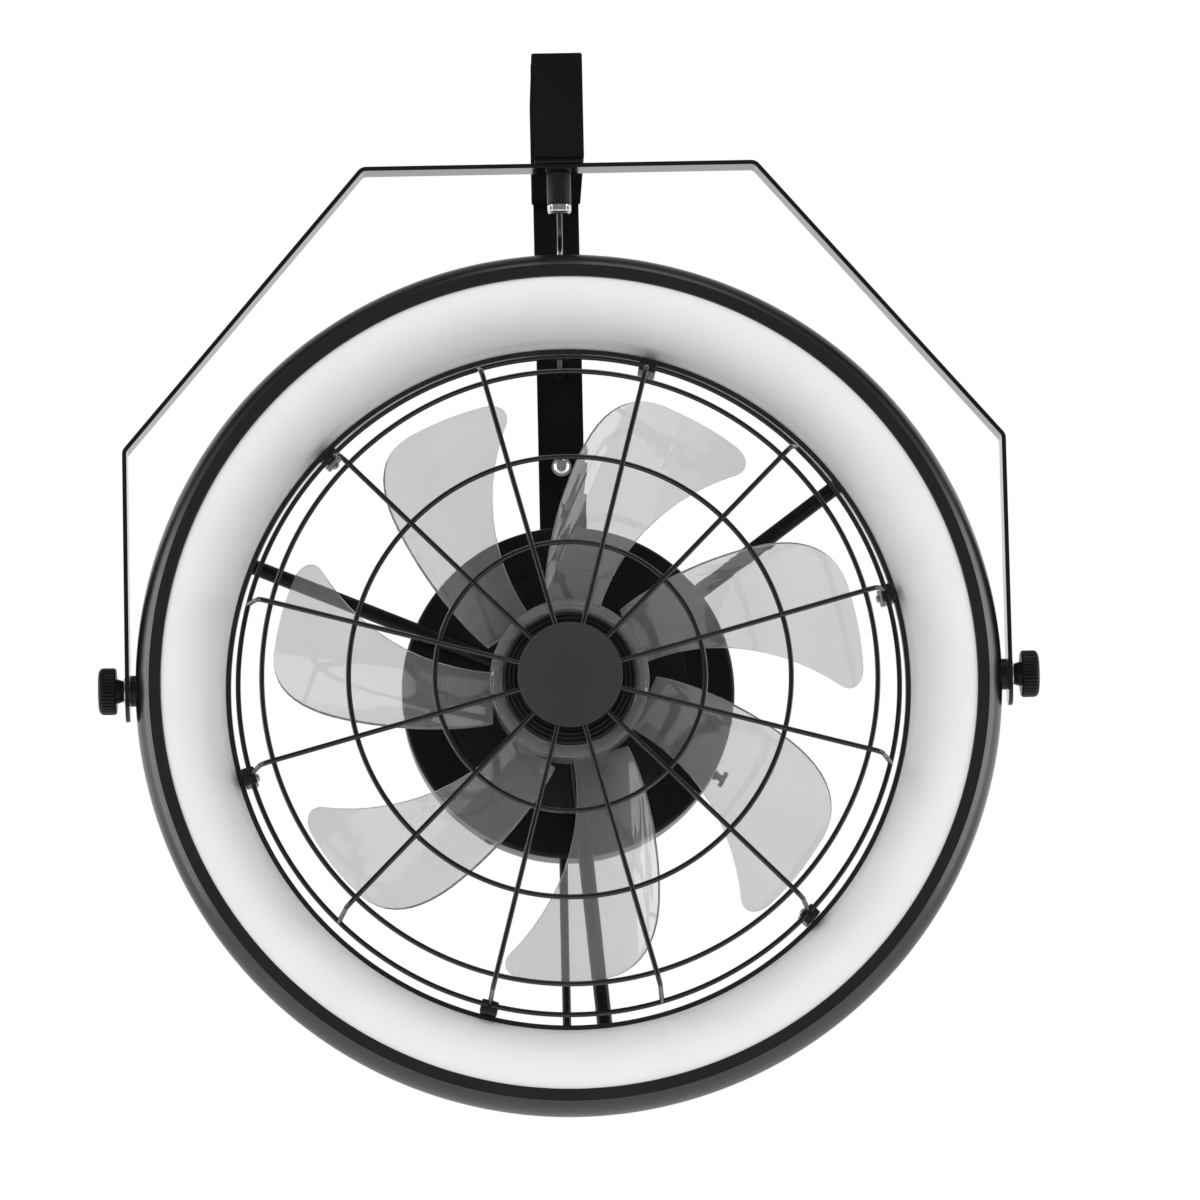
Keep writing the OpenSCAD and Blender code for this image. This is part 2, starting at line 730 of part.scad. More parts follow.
module led_chips() {
    rows = [board_in_r + 6, board_out_r - 6];
    color("#f2d774")
    in_fan() for (row = [0, 1], a = spread(chips_per_row, row * 180 / chips_per_row)) rotate([0, 0, a])
        translate([rows[row] - 1.5, -1.5, -cover_front + board_t]) cube([3, 3, 0.8]);
}

module housing_screws() {
    color(dark_plastic)
    in_fan() for (a = spread(housing_screws_n)) rotate([0, 0, a])
        translate([housing_screw_r, 0, -ring_back]) pan_screw(3, housing_t + loose + cover_t + 1, 6, 2);
}

module pivot_bosses() {
    color(paint)
    in_fan() for (s = [0, 180]) rotate([0, 0, s]) translate([boss_in_x, 0, 0]) rotate([0, 90, 0])
        difference() {
            union() {
                cylinder(d = boss_d, h = yoke_in_x - face_gap - boss_in_x);
                cylinder(d = boss_d + 5, h = boss_nut_t);
            }
            translate([0, 0, -cut]) cylinder(d = stud_d + 2 * fit, h = 20);
        }
}

module support_screw_holes() {
    for (a = support_angles, s = [-1, 1]) rotate([0, 0, a])
        translate([support_foot_r, s * support_screw_side, -cover_back - support_foot[2] - cut])
            cylinder(d = support_screw_d + 2 * fit, h = support_foot[2] + cover_t + 2 * cut);
}

module support_arms() {
    foot_x = support_foot_r - support_foot[0] / 2;
    foot_z = -cover_back - support_foot[2];
    color(paint)
    in_fan() difference() {
        for (a = support_angles) rotate([0, 0, a]) {
            translate([base_r - support_socket, 0, arm_level]) rotate([0, 90, 0])
                cylinder(d = support_d, h = foot_x + support_foot[0] - base_r + support_socket);
            translate([foot_x, -support_foot[1] / 2, foot_z]) cube(support_foot);
            translate([foot_x, -support_d / 2, arm_level])
                cube([support_foot[0], support_d, foot_z - arm_level]);
        }
        support_screw_holes();
    }
}

module support_arm_screws() {
    color(steel)
    in_fan() for (a = support_angles, s = [-1, 1]) rotate([0, 0, a])
        translate([support_foot_r, s * support_screw_side, -cover_back - support_foot[2]])
            pan_screw(support_screw_d, support_foot[2] + cover_t, 5, 1.8);
}

function lead_foot_r() = rim_r + rim_w + 1.2 + lead_d / 2;

module light_lead() {
    start = canopy_r - canopy_t - 4;
    color(dark_plastic)
    in_fan() translate([lead_x, 0, lead_z]) {
        translate([0, -start, 0]) rotate([90, 0, 0]) cylinder(d = lead_d, h = lead_foot_r() - start);
        translate([0, -lead_foot_r(), 0]) sphere(d = lead_d);
        translate([0, -lead_foot_r(), 0]) cylinder(d = lead_d, h = -cover_front - lead_z);
    }
}

// Canopy

module canopy_shell() {
    t = canopy_t;
    z0 = -canopy_front;
    color(paint)
    in_fan() difference() {
        rotate_extrude($fn = 128) polygon(concat(
            [[0, z0 + plateau_h], [plateau_r - 1.5, z0 + plateau_h], [plateau_r, z0 + plateau_h - 1.5],
             [plateau_r, z0]],
            arc([canopy_r - 3, z0 - 3], 3, 3, 90, 0, 6),
            [[canopy_r, -canopy_back], [canopy_r - t, -canopy_back]],
            arc([canopy_r - 3, z0 - 3], 3 - t, 3 - t, 0, 90, 6),
            [[plateau_r - t, z0 - t], [plateau_r - t, z0 + plateau_h - t], [0, z0 + plateau_h - t]]));
        translate([0, 0, z0 - 5]) cylinder(r = 12, h = 20);
        for (a = base_screw_angles) rotate([0, 0, a]) translate([base_screw_r, 0, z0 - 5])
            cylinder(d = 4.4, h = 20);
        for (a = concat(rim_screw_angles, [thumb_screw_angle])) rim_hole(a, 4 + 2 * loose);
        translate([lead_x, -canopy_r + 10, lead_z]) rotate([90, 0, 0])
            cylinder(d = lead_d + 2 * fit, h = 20);
    }
}

module rim_hole(a, d) {
    rotate([0, 0, a]) translate([canopy_r - 10, 0, rim_screw_z]) rotate([0, 90, 0]) cylinder(d = d, h = 20);
}

module canopy_back_plate() {
    z0 = -canopy_back;
    color(steel)
    in_fan() difference() {
        rotate_extrude($fn = 128) polygon([
            [0, z0], [plate_r, z0], [plate_r, z0 + plate_flange], [plate_r - plate_t, z0 + plate_flange],
            [plate_r - plate_t, z0 + plate_t], [0, z0 + plate_t]]);
        for (a = concat(rim_screw_angles, [thumb_screw_angle])) rim_hole(a, 4 + 2 * fit);
        translate([gland_x(), 0, z0 - cut]) cylinder(d = 12.4, h = plate_t + 2 * cut);
    }
}

function gland_x() = canopy_r - 26;

module canopy_rim_screws() {
    color(dark_plastic)
    in_fan() for (a = rim_screw_angles) rotate([0, 0, a]) translate([canopy_r, 0, rim_screw_z])
        rotate([0, -90, 0]) pan_screw(4, 6, 6.4, 1.4);
}

module canopy_thumb_screw() {
    color(paint)
    in_fan() rotate([0, 0, thumb_screw_angle]) translate([canopy_r + face_gap, 0, rim_screw_z])
        rotate([0, 90, 0]) {
            translate([0, 0, -6]) cylinder(d = 4, h = 12);
            cylinder(d = 5.8, h = 1.6);
            difference() {
                translate([0, 0, 4.6]) cylinder(d = 9.6, h = 2.6);
                for (a = spread(16)) rotate([0, 0, a]) translate([4.95, 0, 4])
                    cylinder(d = 0.9, h = 4, $fn = 16);
            }
        }
}

module driver_standoffs() {
    color(steel)
    in_fan() for (x = [-1, 1], y = [-1, 1])
        translate([x * (board_size[0] / 2 - 5), y * (board_size[1] / 2 - 5), -canopy_back + plate_t])
            cylinder(d = 6, h = standoff_h, $fn = 32);
}

module driver_board() {
    color(board_green)
    in_fan() translate([-board_size[0] / 2, -board_size[1] / 2, -board_back]) cube(board_size);
}

module driver_parts() {
    z0 = -board_back + board_size[2];
    left = -board_size[0] / 2;
    right = board_size[0] / 2;
    color("#3b3b40")
    in_fan() {
        translate([left + 15, -20, z0]) cube([26, 24, 17]);
        translate([left + 51, 8, z0]) cylinder(d = 13, h = 18, $fn = 48);
        translate([left + 69, 8, z0]) cylinder(d = 13, h = 18, $fn = 48);
        translate([left + 53, -24, z0]) cube([14, 16, 12]);
        translate([right - 29, -24, z0]) cube([20, 10, 11]);
        translate([right - 23, 4, z0]) cube([3, 18, 16]);
    }
}

module remote_receiver() {
    color("#e9e9e6")
    in_fan() translate([-22, board_size[1] / 2 + 6, -canopy_back + plate_t])
        linear_extrude(height = 14) translate([22, 13]) round_rect(44, 26, 2);
}

module canopy_gland() {
    color(dark_plastic)
    in_fan() translate([gland_x(), 0, -canopy_back]) difference() {
        union() {
            translate([0, 0, -9]) cylinder(d1 = 9, d2 = 15, h = 7);
            translate([0, 0, -2]) cylinder(d = 18, h = 2);
            cylinder(d = 12, h = plate_t);
            translate([0, 0, plate_t]) cylinder(r = 9.2, h = 4, $fn = 6);
        }
        translate([0, 0, -10]) cylinder(d = 6, h = 18);
    }
}

// Motor, still part

module motor_base() {
    color(steel)
    in_fan() difference() {
        union() {
            translate([0, 0, base_back]) cylinder(r = base_r, h = base_front - base_back);
            translate([0, 0, base_front]) cylinder(r = spigot_r + 4, h = stator_back - base_front);
            translate([0, 0, base_front]) cylinder(r = spigot_r, h = spigot_front - base_front);
        }
        translate([0, 0, rear_bearing_z]) cylinder(r = bearing_r + fit, h = 80);
        translate([0, 0, base_back - cut]) cylinder(r = 8, h = 80);
        for (a = support_angles) rotate([0, 0, a])
            translate([base_r - support_socket, 0, arm_level]) rotate([0, 90, 0])
                cylinder(d = support_d + 2 * fit, h = 2 * support_socket);
        for (a = base_screw_angles) rotate([0, 0, a]) translate([base_screw_r, 0, base_back - cut])
            cylinder(d = 4 + 2 * fit, h = 8 + cut);
    }
}

module motor_base_screws() {
    color(steel)
    in_fan() for (a = base_screw_angles) rotate([0, 0, a])
        translate([base_screw_r, 0, base_back - canopy_t]) pan_screw(4, canopy_t + 7, 8, 2.6);
}

module motor_bearings() {
    color(steel)
    in_fan() for (z = [rear_bearing_z, front_bearing_z])
        translate([0, 0, z]) washer(bearing_r, shaft_r + fit, bearing_t);
}

module stator_core() {
    slot = 360 / teeth;
    color("#8d9095")
    in_fan() translate([0, 0, stator_back]) linear_extrude(height = stator_len) difference() {
        circle(stator_r);
        circle(spigot_r + fit);
        for (a = spread(teeth, slot / 2)) rotate(a) {
            translate([spigot_r + 4, -2.2]) square([stator_r - spigot_r - 7, 4.4]);
            translate([stator_r - 4, -0.8]) square([8, 1.6]);
        }
    }
}

module stator_coils() {
    color(copper)
    in_fan() for (a = spread(teeth), end = [0, 1]) rotate([0, 0, a])
        translate([spigot_r + 5, -2, end > 0 ? stator_back + stator_len : stator_back - 1.6])
            cube([stator_r - spigot_r - 9, 4, 1.6]);
}

// Cage

module wire_ring(r, z) {
    translate([0, 0, z]) rotate_extrude($fn = 120) translate([r, 0]) circle(d = wire_d, $fn = 24);
}

module cage_rings() {
    color(paint)
    in_fan() for (r = [inner_ring_r, middle_ring_r, outer_ring_r]) wire_ring(r, ring_z);
}

module cage_rim_wire() {
    color(paint)
    in_fan() wire_ring(rim_wire_r, -rim_wire_back);
}

// The bend is drawn a little thinner than the straights, which lap over its ends
module cage_spokes() {
    color(paint)
    in_fan() for (a = spread(spokes, first_spoke)) rotate([0, 0, a]) {
        translate([spoke_in_r, 0, spoke_z]) rotate([0, 90, 0])
            cylinder(d = wire_d, h = bend_r + bend_lap - spoke_in_r, $fn = 24);
        translate([bend_r, 0, spoke_z - spoke_bend_r]) rotate([90, 0, 0]) rotate([0, 0, leg_splay])
            rotate_extrude(angle = 90 - leg_splay, $fn = 48)
                translate([spoke_bend_r, 0]) circle(d = wire_d - 0.1, $fn = 24);
        translate([bend_end_r, 0, bend_end_z]) rotate([0, 180 - leg_splay, 0])
            translate([0, 0, -bend_lap]) cylinder(d = wire_d, h = leg_len + bend_lap, $fn = 24);
    }
}

module cage_clips() {
    color(dark_plastic)
    in_fan() difference() {
        for (a = spread(clips, first_spoke)) rotate([0, 0, a])
            translate([clip_in_r, -clip_w / 2, -cover_back])
                cube([clip_out_r - clip_in_r, clip_w, clip_top + cover_back]);
        translate([0, 0, -rim_wire_back]) rotate_extrude($fn = 120) translate([rim_wire_r, 0])
            circle(d = wire_d + 2 * fit, $fn = 24);
        for (a = spread(clips, first_spoke)) rotate([0, 0, a]) translate([clip_in_r - cut, 0, clip_screw_z])
            rotate([0, 90, 0]) cylinder(d = 2.8, h = 20, $fn = 24);
    }
}

module clip_screws() {
    color(steel)
    in_fan() for (a = spread(clips, first_spoke)) rotate([0, 0, a])
        translate([clip_in_r, 0, clip_screw_z]) rotate([0, 90, 0])
            pan_screw(2.5, rim_r + rim_w - clip_in_r, 4.6, 1.6);
}

module cage_cap() {
    r = cap_d / 2;
    color("#3a3a3c")
    in_fan() translate([0, 0, cage_front - cap_t]) difference() {
        rotate_extrude() polygon([[0, 0], [r, 0], [r, cap_t - 0.8], [r - 0.8, cap_t], [0, cap_t]]);
        for (a = spread(3, 30)) rotate([0, 0, a]) translate([18, 0, -cut])
            cylinder(d = 2.5 + 2 * fit, h = cap_t - 1.5 + cut, $fn = 32);
    }
}

module cage_back_plate() {
    color(paint)
    in_fan() translate([0, 0, spoke_z - wire_d / 2 - cage_plate_t]) {
        washer(cap_d / 2 - 3, 5, cage_plate_t);
        for (a = spread(3, 30)) rotate([0, 0, a]) translate([18, 0, -1.8]) {
            cylinder(d = 5, h = 1.8, $fn = 32);
            cylinder(d = 2.5, h = 1.8 + cage_plate_t + wire_d + cap_t - 1.6, $fn = 32);
        }
    }
}

// Rotor

module rotor_can() {
    color(steel)
    in_fan() difference() {
        rotate_extrude() polygon([
            [0, can_front], [can_r, can_front], [can_r, can_back], [can_r - can_t, can_back],
            [can_r - can_t, can_front - 2], [9, can_front - 2], [9, spigot_front + 1.5],
            [0, spigot_front + 1.5]]);
        translate([0, 0, spigot_front]) cylinder(r = shaft_r + fit, h = 40);
        for (a = spread(3)) rotate([0, 0, a]) translate([cover_screw_r, 0, can_front - 10])
            cylinder(d = 4 + 2 * fit, h = 20, $fn = 32);
    }
}

module rotor_magnets() {
    r_out = can_r - can_t - fit;
    wedge = 360 / magnets * 0.86;
    color("#6d6f74")
    in_fan() for (a = spread(magnets)) rotate([0, 0, a]) translate([0, 0, stator_back])
        rotate_extrude(angle = wedge) translate([r_out - magnet_t, 0]) square([magnet_t, stator_len]);
}

module motor_shaft() {
    color(steel)
    in_fan() translate([0, 0, shaft_back]) cylinder(r = shaft_r, h = can_front + 2 - shaft_back);
}

function blade_point(p) = [blade_root_r + p[0] * blade_span, p[1] * blade_w];

module blade_outline() {
    polygon([for (edge = [lead_edge, lead_corner, tip_edge, tail_corner, tail_edge],
        p = curve(edge, 8)) blade_point(p)]);
}

module one_blade() {
    lift = sqrt(blade_camber_r * blade_camber_r - blade_half * blade_half);
    cy = -lift * sin(blade_pitch);
    cz = blade_mid_z + lift * cos(blade_pitch);
    intersection() {
        translate([0, 0, -blade_w]) linear_extrude(height = 2 * blade_w) blade_outline();
        translate([0, cy, cz]) rotate([0, 90, 0]) difference() {
            cylinder(r = blade_camber_r + blade_t / 2, h = blade_tip_r + 10, $fn = 180);
            translate([0, 0, -cut])
                cylinder(r = blade_camber_r - blade_t / 2, h = blade_tip_r + 20, $fn = 180);
        }
    }
}

module blade_set() {
    floor_z = can_front;
    color(clear_grey, 0.45)
    in_fan() difference() {
        union() {
            rotate_extrude() polygon([
                [6, floor_z], [hub_bore_r, floor_z], [hub_bore_r, 0], [hub_bore_r + hub_t, 0],
                [hub_bore_r + hub_t, hub_front - 2], [hub_r - hub_t, hub_front - 2],
                [hub_r - hub_t, hub_back], [hub_r, hub_back], [hub_r, hub_front - 0.8],
                [hub_r - 0.8, hub_front], [hub_bore_r, hub_front], [hub_bore_r, floor_z + hub_floor_t],
                [6, floor_z + hub_floor_t]]);
            for (a = spread(blades, first_blade)) rotate([0, 0, a]) one_blade();
        }
        for (a = spread(3)) rotate([0, 0, a]) translate([cover_screw_r, 0, 0])
            cylinder(d = 4.4, h = 60, $fn = 32);
    }
}

module motor_cover() {
    r = hub_bore_r - loose;
    t = motor_cover_t;
    step = (r - cap_d / 2 - 0.6) / ridges;
    color(paint)
    in_fan() translate([0, 0, cover_z]) difference() {
        rotate_extrude() polygon(concat(
            [[6, 0], [r, 0], [r, t - 1]],
            [for (i = [0 : ridges - 1], p = [[0.1, t - 0.9], [0.3, t], [0.65, t], [0.95, t - 0.9]])
                [r - step * (i + p[0]), p[1]]],
            [[r - step * ridges - 0.6, t], [6, t]]));
        for (a = spread(3)) rotate([0, 0, a]) translate([cover_screw_r, 0, -cut])
            cylinder(d = 4.4, h = t + 2 * cut, $fn = 32);
    }
}

module cover_screws() {
    color(steel)
    in_fan() for (a = spread(3)) rotate([0, 0, a])
        translate([cover_screw_r, 0, cover_z + motor_cover_t]) rotate([180, 0, 0])
            pan_screw(4, motor_cover_t + hub_floor_t + 2, 7.6, 2.4);
}

// Clamp knobs

module clamp_knob() {
    r = knob_d / 2;
    in_fan() {
        difference() {
            translate([knob_x, 0, 0]) rotate([0, 90, 0]) rotate_extrude() polygon(concat(
                [[0, -knob_neck], [5.8, -knob_neck], [7.3, 0], [r - 1, 0], [r, 1]],
                arc([r - 3, knob_t - 3], 3, 3, 0, 90, 6),
                [[0, knob_t]]));
            for (a = spread(knob_grooves)) rotate([a, 0, 0])
                translate([knob_x - cut, 0, r + 0.35]) rotate([0, 90, 0])
                    cylinder(d = 1.6, h = knob_t + 2 * cut, $fn = 16);
        }
        translate([stud_in_x, 0, 0]) rotate([0, 90, 0]) cylinder(d = stud_d, h = knob_x - stud_in_x);
        translate([yoke_out_x, 0, 0]) rotate([0, 90, 0]) cylinder(d = 15, h = knob_washer_t);
    }
}

module clamp_knob_left() {
    color(paint) mirror([1, 0, 0]) clamp_knob();
}

module clamp_knob_right() {
    color(paint) clamp_knob();
}

wall_bar();
bar_end_caps();
wall_screws();
wall_screw_washers();
wall_screw_spacers();
cable_grommet();
bar_connector();
arm_tube();
arm_end_cap();
arm_root_block();
arm_fixing_screws();
swivel_spacer();
swivel_stem();
swivel_lock_nut();
arm_connector();
cord_grip_body();
cord_grip_claw();
cable_inner_leads();
mains_cable();
yoke_bar();
swivel_washer();
ring_housing();
ring_back_cover();
diffuser();
led_board();
led_chips();
housing_screws();
pivot_bosses();
support_arms();
support_arm_screws();
light_lead();
canopy_shell();
canopy_back_plate();
canopy_rim_screws();
driver_standoffs();
driver_board();
driver_parts();
remote_receiver();
canopy_gland();
motor_base();
motor_base_screws();
motor_bearings();
stator_core();
stator_coils();
cage_rings();
cage_rim_wire();
cage_spokes();
cage_clips();
clip_screws();
cage_cap();
cage_back_plate();
rotor_can();
rotor_magnets();
motor_shaft();
blade_set();
motor_cover();
cover_screws();
clamp_knob_left();
clamp_knob_right();
canopy_thumb_screw();
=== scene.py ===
"""Looks, camera and studio of the wall fan with a ring light.

Sizes in the classes are millimetres. A finished piece is in metres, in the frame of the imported
model.
"""
import json
import logging
import math
from dataclasses import dataclass
from enum import Enum
from functools import cache

import bmesh
import bpy
from bmesh.types import BMEdge, BMVert
from bpy.types import ID, Material, Node, NodeTree, Object
from mathutils import Matrix, Vector


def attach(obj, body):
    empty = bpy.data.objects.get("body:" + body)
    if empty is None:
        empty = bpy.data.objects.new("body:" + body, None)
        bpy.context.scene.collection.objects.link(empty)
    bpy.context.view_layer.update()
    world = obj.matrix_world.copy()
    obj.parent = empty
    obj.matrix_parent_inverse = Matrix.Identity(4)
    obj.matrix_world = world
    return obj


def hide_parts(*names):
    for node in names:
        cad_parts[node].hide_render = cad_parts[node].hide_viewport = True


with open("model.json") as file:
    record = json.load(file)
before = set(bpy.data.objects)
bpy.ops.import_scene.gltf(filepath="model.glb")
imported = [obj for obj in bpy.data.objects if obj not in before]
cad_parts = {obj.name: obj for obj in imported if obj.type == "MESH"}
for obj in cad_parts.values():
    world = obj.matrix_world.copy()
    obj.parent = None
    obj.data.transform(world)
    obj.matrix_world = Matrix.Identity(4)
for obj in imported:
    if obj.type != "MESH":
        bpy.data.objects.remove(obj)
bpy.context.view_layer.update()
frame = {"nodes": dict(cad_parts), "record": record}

Point = tuple[float, float]
Triple = tuple[float, float, float]

MM = 0.001
TURN = 2 * math.pi
WHITE = (1, 1, 1, 1)
UNMOVED = Matrix.Identity(4)
# Local z turned to the viewer, and local z turned to the right
TO_FRONT = Matrix.Rotation(math.radians(90), 4, "X")
TO_RIGHT = Matrix.Rotation(math.radians(90), 4, "Y")
# Points nearer than this, in millimetres, are one
MERGE = 1e-4
# Scale of the colour's drift and of the handling marks, per metre
DRIFT_SCALE = 25.0
MARKS_SCALE = 70.0
COAT_ROUGHNESS = 0.08
# Where a mix node keeps its colours
COLOUR_A, COLOUR_B, COLOUR_MIXED = 6, 7, 2
# Facets across a softened edge, and along a bend of round wire or cable
BEVEL_SEGMENTS, BEND_STEPS = 2, 10
log = logging.getLogger("wall_fan")


def pivot_of(joint: str) -> Vector:
    """The place where a joint of the record turns."""
    joints = frame["record"]["behaviour"]["joints"]
    return next(Vector(j["pos_m"]) / MM for j in joints if j["name"] == joint)


FAN_AXIS = pivot_of("fan_tilt")
# The fan's own frame: x right, y up, z towards the viewer
FAN = Matrix.Translation(FAN_AXIS) @ TO_FRONT


def arc(centre: Point, rx: float, ry: float, start: float, end: float, steps: int) -> list[Point]:
    """Points on a stretch of an ellipse.

    Args:
        centre: middle of the ellipse.
        rx: its half width.
        ry: its half height.
        start: first angle in degrees.
        end: last angle in degrees.
        steps: number of stretches between the points.

    Returns:
        The points, first and last included.
    """
    angles = [math.radians(start + (end - start) * i / steps) for i in range(steps + 1)]
    return [(centre[0] + rx * math.cos(a), centre[1] + ry * math.sin(a)) for a in angles]


def circle(diameter: float, sides: int, centre: Point = (0, 0)) -> list[Point]:
    """Points evenly round a circle."""
    return arc(centre, diameter / 2, diameter / 2, 0, 360 - 360 / sides, sides - 1)


def shift(x: float = 0.0, y: float = 0.0, z: float = 0.0) -> Matrix:
    """A move."""
    return Matrix.Translation((x, y, z))


def spin_by(degrees: float) -> Matrix:
    """A turn about the local z axis."""
    return Matrix.Rotation(math.radians(degrees), 4, "Z")


def spread(count: int, first: float = 0.0) -> list[float]:
    """Angles of copies set evenly round a circle, in degrees."""
    return [first + 360 * i / count for i in range(count)]


def add_object(name: str, data: ID) -> Object:
    """Makes an object and puts it in the scene."""
    made = bpy.data.objects.new(name, data)
    bpy.context.scene.collection.objects.link(made)
    return made


def fill_in(node: Node, values: dict[str, object]) -> None:
    """Sets a node's inputs by name."""
    for label, value in values.items():
        node.inputs[label].default_value = value


def add_node(tree: NodeTree, kind: str, values: dict[str, object] | None = None,
             **choices: object) -> Node:
    """Adds a node.

    Args:
        tree: where it goes.
        kind: its type.
        values: its inputs by name.
        choices: its other properties.

    Returns:
        The node.
    """
    node = tree.nodes.new(kind)
    for label, choice in choices.items():
        setattr(node, label, choice)
    fill_in(node, values or {})
    return node


def join(tree: NodeTree, *links: tuple) -> None:
    """Links nodes; each link is a node, its output, the next node and its input."""
    for source, output, target, entry in links:
        tree.links.new(source.outputs[output], target.inputs[entry])


class Body(Enum):
    """The bodies that a piece can ride on."""

    BRACKET = "bracket"
    YOKE = "yoke"
    FAN = "fan"
    ROTOR = "rotor"
    KNOB_LEFT = "knob_left"
    KNOB_RIGHT = "knob_right"


class Kind(Enum):
    """How light meets a finish."""

    OPAQUE = "opaque"
    METAL = "metal"
    CLEAR = "clear"


class Effects:
    """The node groups that the finishes share, each made once."""

    @staticmethod
    def _group(name: str, extra: list[tuple[str, str, object]], output: tuple[str, str],
               detail: float) -> tuple:
        """Starts a group with noise on object coordinates.

        Args:
            name: name of the group.
            extra: name, socket type and default of each input besides Scale and Stretch.
            output: name and socket type of the output.
            detail: number of finer layers of the noise.

        Returns:
            The group, its input node, its noise and its output node.
        """
        group = bpy.data.node_groups.new(name, "ShaderNodeTree")
        always = [("Scale", "NodeSocketFloat", DRIFT_SCALE),
                  ("Stretch", "NodeSocketVector", (1, 1, 1))]
        for label, kind, value in always + extra:
            socket = group.interface.new_socket(label, in_out="INPUT", socket_type=kind)
            socket.default_value = value
        group.interface.new_socket(output[0], in_out="OUTPUT", socket_type=output[1])
        given, result = add_node(group, "NodeGroupInput"), add_node(group, "NodeGroupOutput")
        place = add_node(group, "ShaderNodeTexCoord")
        stretch = add_node(group, "ShaderNodeVectorMath", operation="MULTIPLY")
        noise = add_node(group, "ShaderNodeTexNoise", {"Detail": detail})
        join(group, (place, "Object", stretch, 0), (given, "Stretch", stretch, 1),
             (stretch, 0, noise, "Vector"), (given, "Scale", noise, "Scale"))
        return group, given, noise, result

    @classmethod
    @cache
    def grain(cls) -> NodeTree:
        """Height of the fine grain of a surface."""
        group, _, noise, result = cls._group(
            "fine_grain", [], ("Height", "NodeSocketFloat"), detail=2.0)
        join(group, (noise, "Fac", result, "Height"))
        return group

    @classmethod
    @cache
    def tone(cls) -> NodeTree:
        """A colour that drifts between two over the surface."""
        group, given, noise, result = cls._group(
            "colour_drift",
            [(label, "NodeSocketColor", (0.5, 0.5, 0.5, 1)) for label in ("Main", "Other")],
            ("Color", "NodeSocketColor"), detail=3.0)
        ramp = add_node(group, "ShaderNodeMapRange", {"From Min": 0.35, "From Max": 0.65})
        mix = add_node(group, "ShaderNodeMix", data_type="RGBA")
        join(group, (noise, "Fac", ramp, "Value"), (ramp, "Result", mix, "Factor"),
             (given, "Main", mix, COLOUR_A), (given, "Other", mix, COLOUR_B),
             (mix, COLOUR_MIXED, result, "Color"))
        return group

    @classmethod
    @cache
    def handling(cls) -> NodeTree:
        """A roughness that drifts where a surface was handled."""
        group, given, noise, result = cls._group(
            "handling_marks",
            [("Low", "NodeSocketFloat", 0.3), ("High", "NodeSocketFloat", 0.5)],
            ("Roughness", "NodeSocketFloat"), detail=4.0)
        ramp = add_node(group, "ShaderNodeMapRange", {"From Min": 0.3, "From Max": 0.7})
        join(group, (noise, "Fac", ramp, "Value"), (given, "Low", ramp, "To Min"),
             (given, "High", ramp, "To Max"), (ramp, "Result", result, "Roughness"))
        return group


@dataclass(frozen=True)
class Finish:
    """The finish of a surface.

    colour and other are the two tones that it drifts between, smooth and rough its least and
    greatest roughness, grain_mm and depth_mm the size and depth of its grain, stretch the grain's
    scale along each axis, and slot the record's material slot.
    """

    name: str
    slot: str
    colour: Triple
    other: Triple
    smooth: float
    rough: float
    kind: Kind = Kind.OPAQUE
    shine: float = 0.5
    coat: float = 0.0
    grain_mm: float = 0.7
    depth_mm: float = 0.02
    stretch: Triple = (1.0, 1.0, 1.0)
    clear: float = 0.0
    refraction: float = 1.5

    def _effect(self, tree: NodeTree, group: NodeTree, values: dict[str, object]) -> Node:
        """Puts a shared group in this finish's material."""
        node = add_node(tree, "ShaderNodeGroup", node_tree=group)
        fill_in(node, {"Stretch": self.stretch, **values})
        return node

    @cache
    def material(self) -> Material:
        """The finish's material, built at its first use."""
        made = bpy.data.materials.new(self.name)
        made.use_nodes = True
        tree = made.node_tree
        shader = next(n for n in tree.nodes if n.type == "BSDF_PRINCIPLED")
        fill_in(shader, {"Metallic": 1.0 if self.kind is Kind.METAL else 0.0,
                         "Specular IOR Level": self.shine, "Coat Weight": self.coat,
                         "Coat Roughness": COAT_ROUGHNESS})
        if self.kind is Kind.CLEAR:
            fill_in(shader, {"Transmission Weight": self.clear, "IOR": self.refraction})
        tone = self._effect(tree, Effects.tone(), {
            "Scale": DRIFT_SCALE, "Main": (*self.colour, 1), "Other": (*self.other, 1)})
        marks = self._effect(tree, Effects.handling(), {
            "Scale": MARKS_SCALE, "Low": self.smooth, "High": self.rough})
        grain = self._effect(tree, Effects.grain(), {"Scale": 1 / (self.grain_mm * MM)})
        bump = add_node(tree, "ShaderNodeBump", {"Strength": 1.0, "Distance": self.depth_mm * MM})
        join(tree, (tone, "Color", shader, "Base Color"), (marks, "Roughness", shader, "Roughness"),
             (grain, "Height", bump, "Height"), (bump, "Normal", shader, "Normal"))
        return made

    def dress(self, *nodes: str) -> None:
        """Gives this finish to CAD nodes that are shown as they are."""
        for name in nodes:
            solid = frame["nodes"][name]
            if not solid.material_slots:
                solid.data.materials.append(None)
            for holder in solid.material_slots:
                holder.material = self.material()
            log.info("%s: CAD solid in %s", name, self.name)


def grey(level: float, blue: float) -> Triple:
    """A grey with its own share of blue."""
    return (level, level, blue)


